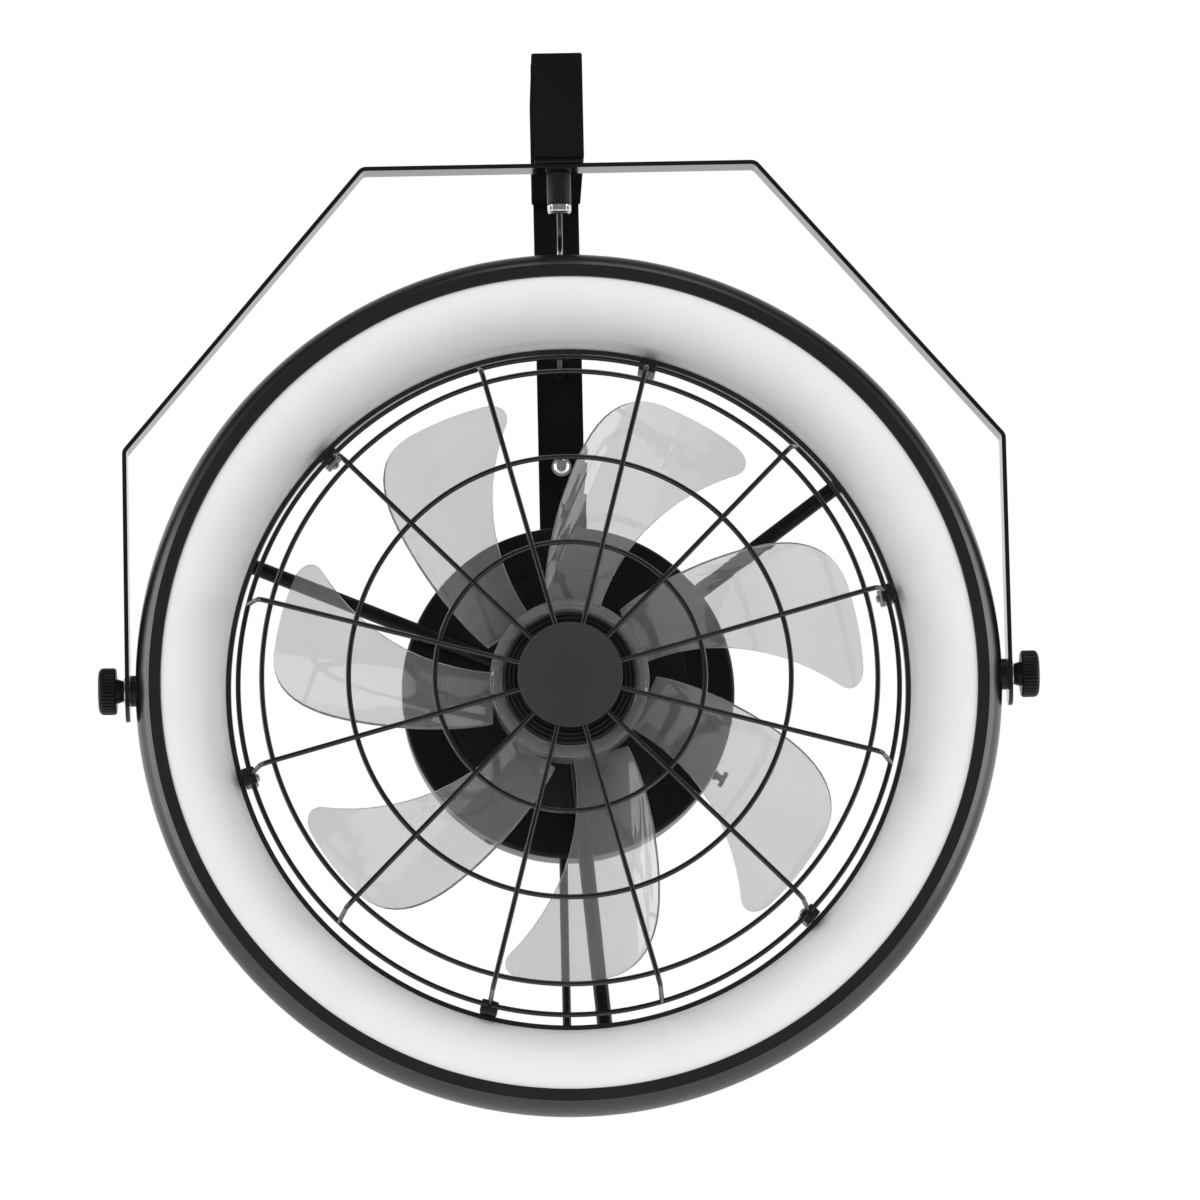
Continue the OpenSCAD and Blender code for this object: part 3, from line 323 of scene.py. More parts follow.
PAINT = Finish("powder_coat", "black_paint", grey(0.0042, 0.0045), grey(0.006, 0.0064),
               0.27, 0.36, shine=0.22, grain_mm=0.9, depth_mm=0.003)
BAR_PAINT = Finish("bar_coat", "black_paint", grey(0.0078, 0.008), grey(0.0094, 0.0097),
                   0.54, 0.64, shine=0.0, grain_mm=0.8, depth_mm=0.006)
SHELL_PAINT = Finish("shell_coat", "black_paint", grey(0.0028, 0.003), grey(0.004, 0.0043),
                     0.27, 0.33, shine=0.8, grain_mm=0.9, depth_mm=0.002)
YOKE_PAINT = Finish("yoke_coat", "black_paint", grey(0.0034, 0.0036), grey(0.0046, 0.0049),
                    0.07, 0.12, shine=0.5, grain_mm=0.9, depth_mm=0.001)
WIRE_PAINT = Finish("wire_coat", "black_paint", grey(0.004, 0.0043), grey(0.0055, 0.0058),
                    0.05, 0.08, shine=0.5, coat=0.3, grain_mm=0.9, depth_mm=0.0006)
MOULDED = Finish("moulded_black", "black_plastic", grey(0.007, 0.0073), grey(0.01, 0.0104),
                 0.34, 0.46, shine=0.3, grain_mm=0.5, depth_mm=0.006)
KNOB_BLACK = Finish("knob_black", "black_plastic", grey(0.0036, 0.0038), grey(0.0052, 0.0055),
                    0.34, 0.44, shine=0.24, grain_mm=0.5, depth_mm=0.005)
CAP_GREY = Finish("moulded_grey", "grey_cap", grey(0.031, 0.032), grey(0.036, 0.037),
                  0.42, 0.5, shine=0.2, grain_mm=0.5, depth_mm=0.004)
JACKET = Finish("cable_jacket", "black_plastic", grey(0.005, 0.0053), grey(0.008, 0.0083),
                0.18, 0.26, shine=0.5, coat=0.6, grain_mm=0.8, depth_mm=0.002)
ZINC = Finish("zinc_plate", "zinc_steel", (0.58, 0.59, 0.61), (0.68, 0.69, 0.7),
              0.28, 0.42, Kind.METAL, grain_mm=0.4, depth_mm=0.006)
BRIGHT = Finish("bright_plate", "bright_metal", (0.74, 0.75, 0.77), (0.82, 0.83, 0.84),
                0.12, 0.22, Kind.METAL, grain_mm=0.5, depth_mm=0.003)
ALLOY = Finish("turned_alloy", "alloy", (0.5, 0.51, 0.52), (0.6, 0.61, 0.62),
               0.3, 0.45, Kind.METAL, grain_mm=0.5, depth_mm=0.008)
OPAL = Finish("opal_satin", "opal", grey(0.82, 0.815), grey(0.84, 0.835),
              0.42, 0.5, shine=0.35, grain_mm=1.2, depth_mm=0.004)
CLEAR_GREY = Finish("smoked_clear", "clear_grey", (0.665, 0.67, 0.675), (0.69, 0.695, 0.7),
                    0.015, 0.03, Kind.CLEAR, clear=0.86, refraction=1.49, grain_mm=9.0,
                    depth_mm=0.0002)
IVORY = Finish("ivory_moulding", "white_plastic", (0.74, 0.72, 0.66), (0.8, 0.78, 0.72), 0.4, 0.5)
PHOSPHOR = Finish("phosphor", "light_chip", (0.85, 0.7, 0.28), (0.9, 0.76, 0.34), 0.3, 0.4)
WHITE_MASK = Finish("white_mask", "white_board", grey(0.82, 0.8), grey(0.86, 0.84), 0.35, 0.45)
GREEN_MASK = Finish("green_mask", "green_board", (0.04, 0.2, 0.1), (0.06, 0.26, 0.13), 0.3, 0.4)
PARTS = Finish("part_cases", "dark_parts", grey(0.05, 0.06), grey(0.08, 0.09), 0.4, 0.5)
IRON = Finish("laminated_iron", "iron", (0.26, 0.27, 0.28), (0.32, 0.33, 0.34), 0.4, 0.55,
              Kind.METAL, grain_mm=0.5, stretch=(1.0, 12.0, 1.0))
MAGNET = Finish("sintered_magnet", "magnet", (0.13, 0.135, 0.14), (0.18, 0.185, 0.19), 0.5, 0.65)
COPPER = Finish("enamelled_wire", "copper", (0.55, 0.25, 0.1), (0.65, 0.32, 0.15), 0.25, 0.35,
                Kind.METAL, grain_mm=0.5, stretch=(1.0, 8.0, 1.0))
FLOOR = Finish("pale_floor", "", grey(0.86, 0.86), grey(0.88, 0.88), 0.7, 0.8, grain_mm=20.0)


class Piece:
    """A mesh in the making, in millimetres."""

    def __init__(self, name: str) -> None:
        """Starts an empty piece of that name."""
        self.name = name
        self.mesh = bmesh.new()

    def added(self, before: set) -> list[BMVert]:
        """The vertices that weren't there before."""
        return [v for v in self.mesh.verts if v not in before]

    def placed(self, before: set, place: Matrix) -> list[BMVert]:
        """Moves what was added since to its place, and returns its vertices."""
        fresh = self.added(before)
        bmesh.ops.transform(self.mesh, matrix=place, verts=fresh)
        return fresh

    def turned(self, section: list[Point], place: Matrix = UNMOVED, steps: int = 192,
               closed: bool = True) -> list[BMVert]:
        """Turns a section full round the local z axis.

        Args:
            section: radius and height of its points.
            place: where the turned shape goes.
            steps: number of facets round the axis.
            closed: whether the last point joins the first; a section from axis to axis isn't.

        Returns:
            The new vertices.
        """
        before = set(self.mesh.verts)
        dots = [self.mesh.verts.new((r, 0.0, z)) for r, z in section]
        ends = list(zip(dots, dots[1:])) + ([(dots[-1], dots[0])] if closed else [])
        lines = [self.mesh.edges.new(pair) for pair in ends]
        bmesh.ops.spin(self.mesh, geom=dots + lines, cent=(0, 0, 0), axis=(0, 0, 1), angle=TURN,
                       steps=steps, use_merge=True)
        bmesh.ops.remove_doubles(self.mesh, verts=self.added(before), dist=MERGE)
        return self.placed(before, place)

    def hoop(self, radius: float, wire: float, place: Matrix) -> None:
        """Adds a ring of round wire, its radius measured to the middle of the wire."""
        self.turned(circle(wire, sides=14, centre=(radius, 0)), place, steps=240)

    def pin(self, diameter: float, length: float, place: Matrix, sides: int = 48) -> None:
        """Adds a closed pin that runs from the local origin along z."""
        bmesh.ops.create_cone(
            self.mesh, cap_ends=True, segments=sides, radius1=diameter / 2,
            radius2=diameter / 2, depth=length, matrix=place @ shift(z=length / 2))

    def block(self, size: Triple, place: Matrix, rounding: float) -> None:
        """Adds a block with rounded edges, its middle at the local origin.

        Args:
            size: along x, y and z.
            place: where it goes.
            rounding: radius of its edges.
        """
        before = set(self.mesh.verts)
        bmesh.ops.create_cube(self.mesh, size=1.0, matrix=Matrix.Diagonal((*size, 1)))
        fresh = self.added(before)
        edges = list({e for v in fresh for e in v.link_edges})
        bmesh.ops.bevel(self.mesh, geom=fresh + edges, offset=rounding, offset_type="OFFSET",
                        segments=3, profile=0.5, affect="EDGES", material=-1)
        self.placed(before, place)

    def bar(self, outline: list[Triple], moves: list[tuple]) -> None:
        """Adds a bar: an outline that is pushed straight and bent in turn, closed at both ends.

        Args:
            outline: the corners of its section.
            moves: ("push", vector), ("bend", centre, axis, degrees, steps) or
                ("narrow", vector, factors), the last a push that scales the end about its middle.
        """
        dots = [self.mesh.verts.new(p) for p in outline]
        self.mesh.faces.new(dots)
        edges = [self.mesh.edges.get((a, b)) for a, b in zip(dots, dots[1:] + dots[:1])]
        for move in moves:
            if move[0] == "bend":
                _, centre, axis, degrees, steps = move
                ends = [v for e in edges for v in e.verts]
                made = bmesh.ops.spin(self.mesh, geom=edges + list(set(ends)), cent=centre,
                                      axis=axis, angle=math.radians(degrees), steps=steps)
                edges = [g for g in made["geom_last"] if isinstance(g, BMEdge)]
                continue
            made = bmesh.ops.extrude_edge_only(self.mesh, edges=edges)["geom"]
            ends = [g for g in made if isinstance(g, BMVert)]
            edges = [g for g in made if isinstance(g, BMEdge) and all(v in ends for v in g.verts)]
            bmesh.ops.translate(self.mesh, verts=ends, vec=move[1])
            if move[0] == "narrow":
                middle = sum((v.co for v in ends), Vector()) / len(ends)
                bmesh.ops.scale(self.mesh, verts=ends, vec=move[2],
                                space=Matrix.Translation(-middle))
        bmesh.ops.contextual_create(self.mesh, geom=edges)

    def done(self, body: Body, finish: Finish, *nodes: str, softened: float = 0.0,
             crease: float = 35.0) -> None:
        """Makes the object, in metres, dresses it and hangs it on its body.

        Args:
            body: the body that it rides on.
            finish: its finish.
            nodes: the CAD nodes that it stands for.
            softened: radius of a bevel on its edges, none at 0.
            crease: edges sharper than this angle stay sharp.
        """
        bmesh.ops.recalc_face_normals(self.mesh, faces=self.mesh.faces)
        bmesh.ops.scale(self.mesh, vec=(MM, MM, MM), verts=self.mesh.verts)
        data = bpy.data.meshes.new(self.name)
        self.mesh.to_mesh(data)
        self.mesh.free()
        data.shade_smooth()
        data.set_sharp_from_angle(angle=math.radians(crease))
        data.materials.append(finish.material())
        made = add_object(self.name, data)
        if softened:
            bevel = made.modifiers.new("softened_edges", "BEVEL")
            bevel.width = softened * MM
            bevel.segments = BEVEL_SEGMENTS
            bevel.limit_method = "ANGLE"
            bevel.angle_limit = math.radians(crease)
            bevel.harden_normals = True
        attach(made, body.value)
        if nodes:
            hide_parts(*nodes)
        log.info("%s: %d faces in %s", self.name, len(data.polygons), finish.name)


@dataclass
class Viewpoint:
    """The camera, as it was worked out from the fan's outlines in the photograph."""

    place: Triple = (-0.0534, -3.8399, -0.5762)
    yaw: float = 1.119
    pitch: float = 6.851
    roll: float = -1.243
    focal_px: float = 6440.0
    image_px: float = 1200.0
    sensor: float = 36.0
    nearest: float = 0.1
    farthest: float = 50.0

    def build(self) -> None:
        """Makes the camera and looks through it."""
        yaw, pitch, roll = (math.radians(a) for a in (self.yaw, self.pitch, self.roll))
        ahead = Vector((math.sin(yaw) * math.cos(pitch), math.cos(yaw) * math.cos(pitch),
                        math.sin(pitch)))
        right = Vector((math.cos(yaw), -math.sin(yaw), 0))
        up = right.cross(ahead)
        across = right * math.cos(roll) + up * math.sin(roll)
        upward = up * math.cos(roll) - right * math.sin(roll)
        data = bpy.data.cameras.new("viewpoint")
        data.sensor_fit = "HORIZONTAL"
        data.sensor_width = self.sensor
        data.lens = self.focal_px / self.image_px * self.sensor
        data.clip_start, data.clip_end = self.nearest, self.farthest
        camera = add_object("viewpoint", data)
        turn = Matrix((across, upward, -ahead)).transposed().to_4x4()
        camera.matrix_world = Matrix.Translation(self.place) @ turn
        bpy.context.scene.camera = camera
        log.info("viewpoint: lens %.2f mm", data.lens)


@dataclass(frozen=True)
class Lamp:
    """A soft lamp: its place, width and height in metres, and whether gloss and glass show it."""

    name: str
    place: Triple
    size: tuple[float, float]
    watts: float
    mirrored: bool = True

    def build(self) -> None:
        """Makes the lamp, facing the fan."""
        data = bpy.data.lights.new(self.name, "AREA")
        data.shape = "RECTANGLE"
        data.size, data.size_y = self.size
        data.energy = self.watts
        lamp = add_object(self.name, data)
        lamp.location = self.place
        lamp.visible_glossy = self.mirrored
        lamp.rotation_mode = "QUATERNION"
        lamp.rotation_quaternion = (FAN_AXIS * MM - Vector(self.place)).to_track_quat("-Z", "Y")


@dataclass
class Studio:
    """Pale floor, large soft lamps and a white surrounding that is dimmer in front and above."""

    floor_z: float = -1.8
    floor_size: float = 16.0
    surround: float = 0.68
    front_glow: float = 0.2
    # How far towards the back and how far up the mirrored surrounding changes
    behind: tuple[float, float] = (-0.5, -0.05)
    below: tuple[float, float] = (0.85, 0.25)
    lamps: tuple[Lamp, ...] = (
        Lamp("key", (-2.3, -2.4, 1.5), (2.4, 2.4), 44.0, mirrored=False),
        Lamp("fill", (2.6, -2.2, 0.1), (2.0, 2.0), 22.0, mirrored=False),
        Lamp("top", (0.3, -0.4, 2.2), (1.4, 1.4), 8.0),
        Lamp("left_strip", (-2.4, -0.25, -0.15), (1.1, 2.4), 18.0),
        Lamp("right_strip", (2.4, -0.25, -0.15), (1.1, 2.4), 18.0))

    def _mirrored(self, tree: NodeTree) -> Node:
        """Adds what gloss and glass show: white behind and below, dim in front and above.

        Args:
            tree: the world's nodes.

        Returns:
            The background node.
        """
        way = add_node(tree, "ShaderNodeTexCoord")
        parts = add_node(tree, "ShaderNodeSeparateXYZ")
        join(tree, (way, "Generated", parts, 0))
        both = add_node(tree, "ShaderNodeMath", operation="MULTIPLY")
        for entry, (axis, (start, end)) in enumerate((("Y", self.behind), ("Z", self.below))):
            share = add_node(tree, "ShaderNodeMapRange", {"From Min": start, "From Max": end},
                             interpolation_type="SMOOTHSTEP")
            join(tree, (parts, axis, share, "Value"), (share, "Result", both, entry))
        level = add_node(tree, "ShaderNodeMapRange", {"To Min": self.front_glow})
        shown = add_node(tree, "ShaderNodeBackground", {"Color": WHITE})
        join(tree, (both, 0, level, "Value"), (level, "Result", shown, "Strength"))
        return shown

    def _surrounding(self) -> None:
        """Lights the scene from all round, and shows white to the eye, to gloss and in glass."""
        world = bpy.data.worlds.new("surrounding")
        world.use_nodes = True
        bpy.context.scene.world = world
        tree = world.node_tree
        tree.nodes.clear()
        path = add_node(tree, "ShaderNodeLightPath")
        either = add_node(tree, "ShaderNodeMath", operation="MAXIMUM")
        soft = add_node(tree, "ShaderNodeBackground", {"Strength": self.surround, "Color": WHITE})
        white = add_node(tree, "ShaderNodeBackground", {"Color": WHITE})
        mirrored = self._mirrored(tree)
        inner, outer = (add_node(tree, "ShaderNodeMixShader") for _ in range(2))
        out = add_node(tree, "ShaderNodeOutputWorld")
        join(tree, (path, "Is Glossy Ray", either, 0), (path, "Is Transmission Ray", either, 1),
             (either, 0, inner, 0), (soft, 0, inner, 1), (mirrored, 0, inner, 2),
             (path, "Is Camera Ray", outer, 0), (inner, 0, outer, 1), (white, 0, outer, 2),
             (outer, 0, out, "Surface"))

    def build(self) -> None:
        """Makes the floor, the lamps and the surrounding."""
        bpy.context.scene.view_settings.view_transform = "Standard"
        self._surrounding()
        for lamp in self.lamps:
            lamp.build()
        mesh = bmesh.new()
        bmesh.ops.create_grid(mesh, x_segments=1, y_segments=1, size=self.floor_size / 2,
                              matrix=shift(z=self.floor_z))
        data = bpy.data.meshes.new("floor")
        mesh.to_mesh(data)
        mesh.free()
        data.materials.append(FLOOR.material())
        floor = add_object("floor", data)


@dataclass
class MainsCable:
    """The cable from the cord grip to the wall bar, along the route of the CAD model."""

    diameter: float = 3.2
    # The route's points: y and height above the fan's axis
    route: tuple[Point, ...] = (
        (-146, 274.5), (-146, 272), (-146, 269), (-144.9, 263.6), (-141.9, 259.1), (-137.4, 256.1),
        (-132, 255), (-124, 254.8), (-116, 255), (-108, 255.5), (-100, 256), (-92, 256.2),
        (-84, 255.8), (-76, 254.5), (-68.2, 252.2), (-61, 248.8), (-54.6, 244.3), (-49, 238.8),
        (-44.2, 232.5), (-40, 225.8), (-36, 219), (-31.8, 212.7), (-27, 207.2), (-21.6, 203.2),
        (-16.2, 200.8), (-11.2, 200))

    def build(self) -> None:
        places = [Vector((0, y, FAN_AXIS.z + h)) * MM for y, h in self.route]
        data = bpy.data.curves.new("mains_cable_line", "CURVE")
        data.dimensions = "3D"
        data.resolution_u = 6
        data.bevel_depth = self.diameter / 2 * MM
        data.bevel_resolution = 4
        data.use_fill_caps = True
        line = data.splines.new("BEZIER")
        line.bezier_points.add(len(places) - 1)
        for point, place in zip(line.bezier_points, places):
            point.co = place
            point.handle_left_type = point.handle_right_type = "AUTO"
        data.materials.append(JACKET.material())
        cable = add_object("mains_cable_line", data)
        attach(cable, Body.BRACKET.value)
        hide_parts("mains_cable")


@dataclass
class Bracket:
    """Wall bar, arm, swivel and cord grip."""

    arm_w: float = 29.5
    arm_h: float = 61.5
    arm_base: float = 304.5
    arm_root: float = 10.0
    arm_front: float = 164.0
    arm_edge: float = 1.2
    cap_t: float = 1.5
    grip_d: float = 14.0
    grip_len: float = 19.5
    grip_top: float = 299.2
    grip_foot: float = 0.8
    grip_shoulder: float = 1.6
    stem_bore: float = 5.2
    spacer: Triple = (27.7, 30.0, 2.0)
    spacer_back: float = 1.0
    spacer_edge: float = 0.4
    # A dark plug set in the spare hole: painted shade, in place of the shade seen through the hole
    shade_plug_d: float = 2.9
    shade_plug_len: float = 2.2
    shade_plug_tip: float = 0.3
    shade_plug_rim: float = 1.4
    shade_plug_rim_t: float = 0.8
    shade_plug_h: float = 131.0
    shade_plug_back: float = 7.2

    def _box(self, name: str, back: float, front: float, node: str) -> None:
        """Adds the length of the arm between two distances from the wall, for a CAD node."""
        piece = Piece(name)
        place = shift(0, -(back + front) / 2, FAN_AXIS.z + self.arm_base + self.arm_h / 2)
        piece.block((self.arm_w, front - back, self.arm_h), place, self.arm_edge)
        piece.done(Body.BRACKET, BAR_PAINT, node)

    def _spacer(self) -> None:
        """Adds the plate between arm and yoke."""
        piece = Piece("spacer_plate")
        middle = FAN_AXIS + Vector((0, self.spacer_back, self.arm_base - self.spacer[2] / 2))
        piece.block(self.spacer, Matrix.Translation(middle), self.spacer_edge)
        piece.done(Body.BRACKET, MOULDED, "swivel_spacer")

    def _grip(self) -> None:
        """Adds the cord grip's rounded body round the hollow stem."""
        r, bore, top = self.grip_d / 2, self.stem_bore / 2, self.grip_len
        foot, bend = self.grip_foot, self.grip_shoulder
        section = ([(bore, 0), (r - foot, 0), (r, foot)]
                   + arc((r - bend, top - bend), bend, bend, 0, 90, steps=6)
                   + [(bore, top)])
        base = FAN_AXIS + Vector((0, 0, self.grip_top - self.grip_len))
        piece = Piece("cord_grip")
        piece.turned(section, Matrix.Translation(base), steps=96)
        piece.done(Body.BRACKET, MOULDED, "cord_grip_body")

    def _hole_shade_plug(self) -> None:
        """Adds a dark plug in the spare hole of the wall bar, a little below its face: painted
        shade, standing in for the shade seen in the hole.
        """
        r, wide, flat = self.shade_plug_d / 2, self.shade_plug_d / 2 + self.shade_plug_rim, self.shade_plug_rim_t
        end, tip = self.shade_plug_len, self.shade_plug_tip
        section = [(0, 0), (wide, 0), (wide, flat), (r, flat), (r, end - tip), (r - tip, end),
                   (0, end)]
        piece = Piece("spare_hole_shade_plug")
        piece.turned(section, shift(0, -self.shade_plug_back, FAN_AXIS.z + self.shade_plug_h) @ TO_FRONT,
                     steps=40, closed=False)
        piece.done(Body.BRACKET, MOULDED)

    def build(self) -> None:
        """Makes and dresses the bracket."""
        self._box("arm", self.arm_root, self.arm_front - self.cap_t, "arm_tube")
        self._box("arm_front", self.arm_front - self.cap_t, self.arm_front, "arm_end_cap")
        self._spacer()
        self._grip()
        # Painted shade: a dark plug in the spare hole
        self._hole_shade_plug()
        BAR_PAINT.dress("wall_bar")
        MOULDED.dress("bar_end_caps", "cable_grommet", "swivel_washer")
        JACKET.dress("cable_inner_leads")
        BRIGHT.dress("wall_screws", "wall_screw_washers", "cord_grip_claw")
        ZINC.dress("wall_screw_spacers", "arm_fixing_screws", "swivel_stem", "swivel_lock_nut")
        ALLOY.dress("arm_root_block")
        IVORY.dress("bar_connector", "arm_connector")


@dataclass
class Yoke:
    """The bent flat bar that carries the ring."""

    width: float = 20.0
    thickness: float = 2.5
    top: float = 302.5
    half_top: float = 114.2
    corner_h: float = 138.4
    inner_x: float = 253.0
    tail: float = 18.0
    bend_r: float = 5.0
    bend_steps: int = 8
    end_steps: int = 10
    # Width of the round end's last edge, as a share of the bar's
    tip: float = 0.002

    def build(self) -> None:
        """Makes and dresses the yoke: one half, bent twice, and its mirror image."""
        side_x = self.inner_x + self.thickness / 2
        top = self.top - self.thickness / 2
        corners = [Vector((0, 0, top)), Vector((self.half_top, 0, top)),
                   Vector((side_x, 0, self.corner_h)), Vector((side_x, 0, -self.tail))]
        ways = [(b - a).normalized() for a, b in zip(corners, corners[1:])]
        turns = [ways[0].angle(ways[1]), ways[1].angle(ways[2])]
        cuts = [self.bend_r * math.tan(t / 2) for t in turns]
        moves: list[tuple] = []
        start = corners[0]
        for i, way in enumerate(ways[:2]):
            end = corners[i + 1] - way * cuts[i]
            centre = end + Vector((way.z, 0, -way.x)) * self.bend_r
            moves += [("push", end - start),
                      ("bend", centre, (0, 1, 0), math.degrees(turns[i]), self.bend_steps)]
            start = corners[i + 1] + ways[i + 1] * cuts[i]
        round_h = self.width / 2 - self.tail
        moves.append(("push", Vector((0, 0, round_h - start.z))))
        levels = [math.radians(90 * k / self.end_steps) for k in range(self.end_steps + 1)]
        for a, b in zip(levels, levels[1:]):
            drop = (math.sin(b) - math.sin(a)) * self.width / 2
            shrink = max(math.cos(b), self.tip) / math.cos(a)
            moves.append(("narrow", Vector((0, 0, -drop)), (1, shrink, 1)))
        piece = Piece("yoke")
        half_w, half_t = self.width / 2, self.thickness / 2
        piece.bar([(0, -half_w, top - half_t), (0, half_w, top - half_t),
                   (0, half_w, top + half_t), (0, -half_w, top + half_t)], moves)
        mesh = piece.mesh
        seam = [f for f in mesh.faces if all(abs(v.co.x) < MERGE for v in f.verts)]
        bmesh.ops.delete(mesh, geom=seam, context="FACES_ONLY")
        bmesh.ops.mirror(mesh, geom=mesh.verts[:] + mesh.edges[:] + mesh.faces[:], axis="X",
                         merge_dist=MERGE)
        bmesh.ops.translate(mesh, verts=mesh.verts, vec=FAN_AXIS)
        piece.done(Body.YOKE, YOKE_PAINT, "yoke_bar", softened=0.35, crease=50)


@dataclass
class RingLight:
    """Housing, opal diffuser and back cover of the ring light."""

    radius: float = 250.0
    front: float = 19.0
    back: float = 35.0
    shoulder: float = 8.0
    slope: float = 30.0
    crease: float = 0.5
    back_shoulder: float = 10.0
    # How far the back's curve reaches into the side's, in degrees
    overlap: float = 4.0
    bezel: float = 7.4
    bezel_edge: float = 0.5
    wall: float = 1.6
    diffuser_w: float = 35.6
    diffuser_t: float = 2.0
    diffuser_lip: float = 4.2
    cover_t: float = 1.6
    cover_edge: float = 0.4
    cover_play: float = 1.5
    rim_w: float = 2.7
    rim_h: float = 7.2
    gap: float = 0.2
    flange: float = 11.0
    facets: int = 288

    def __post_init__(self) -> None:
        """Works out the radii and depths that follow from the sizes."""
        self.bezel_r = self.radius - self.shoulder
        self.lip_r = self.bezel_r - self.bezel
        self.back_r = self.radius - self.back_shoulder
        self.diffuser_r = self.lip_r - self.diffuser_w
        self.rim_r = self.diffuser_r - self.gap - self.rim_w
        self.cover_back = self.back - self.wall
        self.cover_front = self.cover_back - self.cover_t
        self.rim_top = self.cover_back - self.rim_h

    def _shell(self, inset: float) -> list[Point]:
        """The shell's curve from the bezel round to the back, inset from the outer face."""
        lean = math.radians(90 - self.slope)
        half_w = self.shoulder / (1 - math.cos(lean))
        half_h = (self.front - self.crease) / math.sin(lean)
        return (arc((self.radius - half_w, 0), half_w - inset, half_h - inset,
                    90 - self.slope, 0, steps=24)
                + arc((self.back_r, 0), self.back_shoulder - inset, self.back - inset,
                      -self.overlap, -90, steps=22))

    def _ring(self, name: str, section: list[Point], finish: Finish, node: str) -> None:
        """Adds a ring turned from a section of radii and heights, for a CAD node."""
        piece = Piece(name)
        piece.turned(section, FAN, self.facets)
        piece.done(Body.FAN, finish, node)

    def _housing(self) -> None:
        """Adds the black shell with its flat bezel."""
        flange_r, edge = self.back_r - self.flange, self.bezel_edge
        section = ([(self.lip_r, self.front - edge), (self.lip_r + edge, self.front),
                    (self.bezel_r - self.crease, self.front)]
                   + self._shell(0)
                   + [(flange_r, -self.back), (flange_r, -self.back + self.wall)]
                   + self._shell(self.wall)[::-1] + [(self.lip_r, self.front - self.wall)])
        self._ring("ring_shell", section, SHELL_PAINT, "ring_housing")

    def _diffuser(self) -> None:
        """Adds the opal diffuser, a quarter ellipse that falls to the inner rim."""
        w, depth, t = self.diffuser_w, self.front - self.wall + self.rim_top, self.diffuser_t
        lip = self.lip_r + self.diffuser_lip
        top = self.front - self.wall
        section = ([(self.diffuser_r, -self.cover_front)]
                   + arc((self.lip_r, -self.rim_top), w, depth, 180, 90, steps=48)
                   + [(lip, top), (lip, top - t)]
                   + arc((self.lip_r, -self.rim_top), w - t, depth - t, 90, 180, steps=48)
                   + [(self.diffuser_r + t, -self.cover_front)])
        self._ring("opal_diffuser", section, OPAL, "diffuser")

    def _cover(self) -> None:
        """Adds the back cover with its upright inner rim."""
        outer = self.back_r - self.wall - self.cover_play
        inner, step, edge = self.rim_r, self.rim_r + self.rim_w, self.cover_edge
        section = [(inner, -self.cover_back + edge), (inner + edge, -self.cover_back),
                   (outer, -self.cover_back), (outer, -self.cover_front),
                   (step, -self.cover_front), (step, -self.rim_top - edge),
                   (step - edge, -self.rim_top), (inner + edge, -self.rim_top),
                   (inner, -self.rim_top - edge)]
        self._ring("back_cover", section, SHELL_PAINT, "ring_back_cover")

    def build(self) -> None:
        """Makes and dresses the ring light."""
        self._housing()
        self._diffuser()
        self._cover()
        WHITE_MASK.dress("led_board")
        PHOSPHOR.dress("led_chips")
        MOULDED.dress("housing_screws")
        PAINT.dress("pivot_bosses")


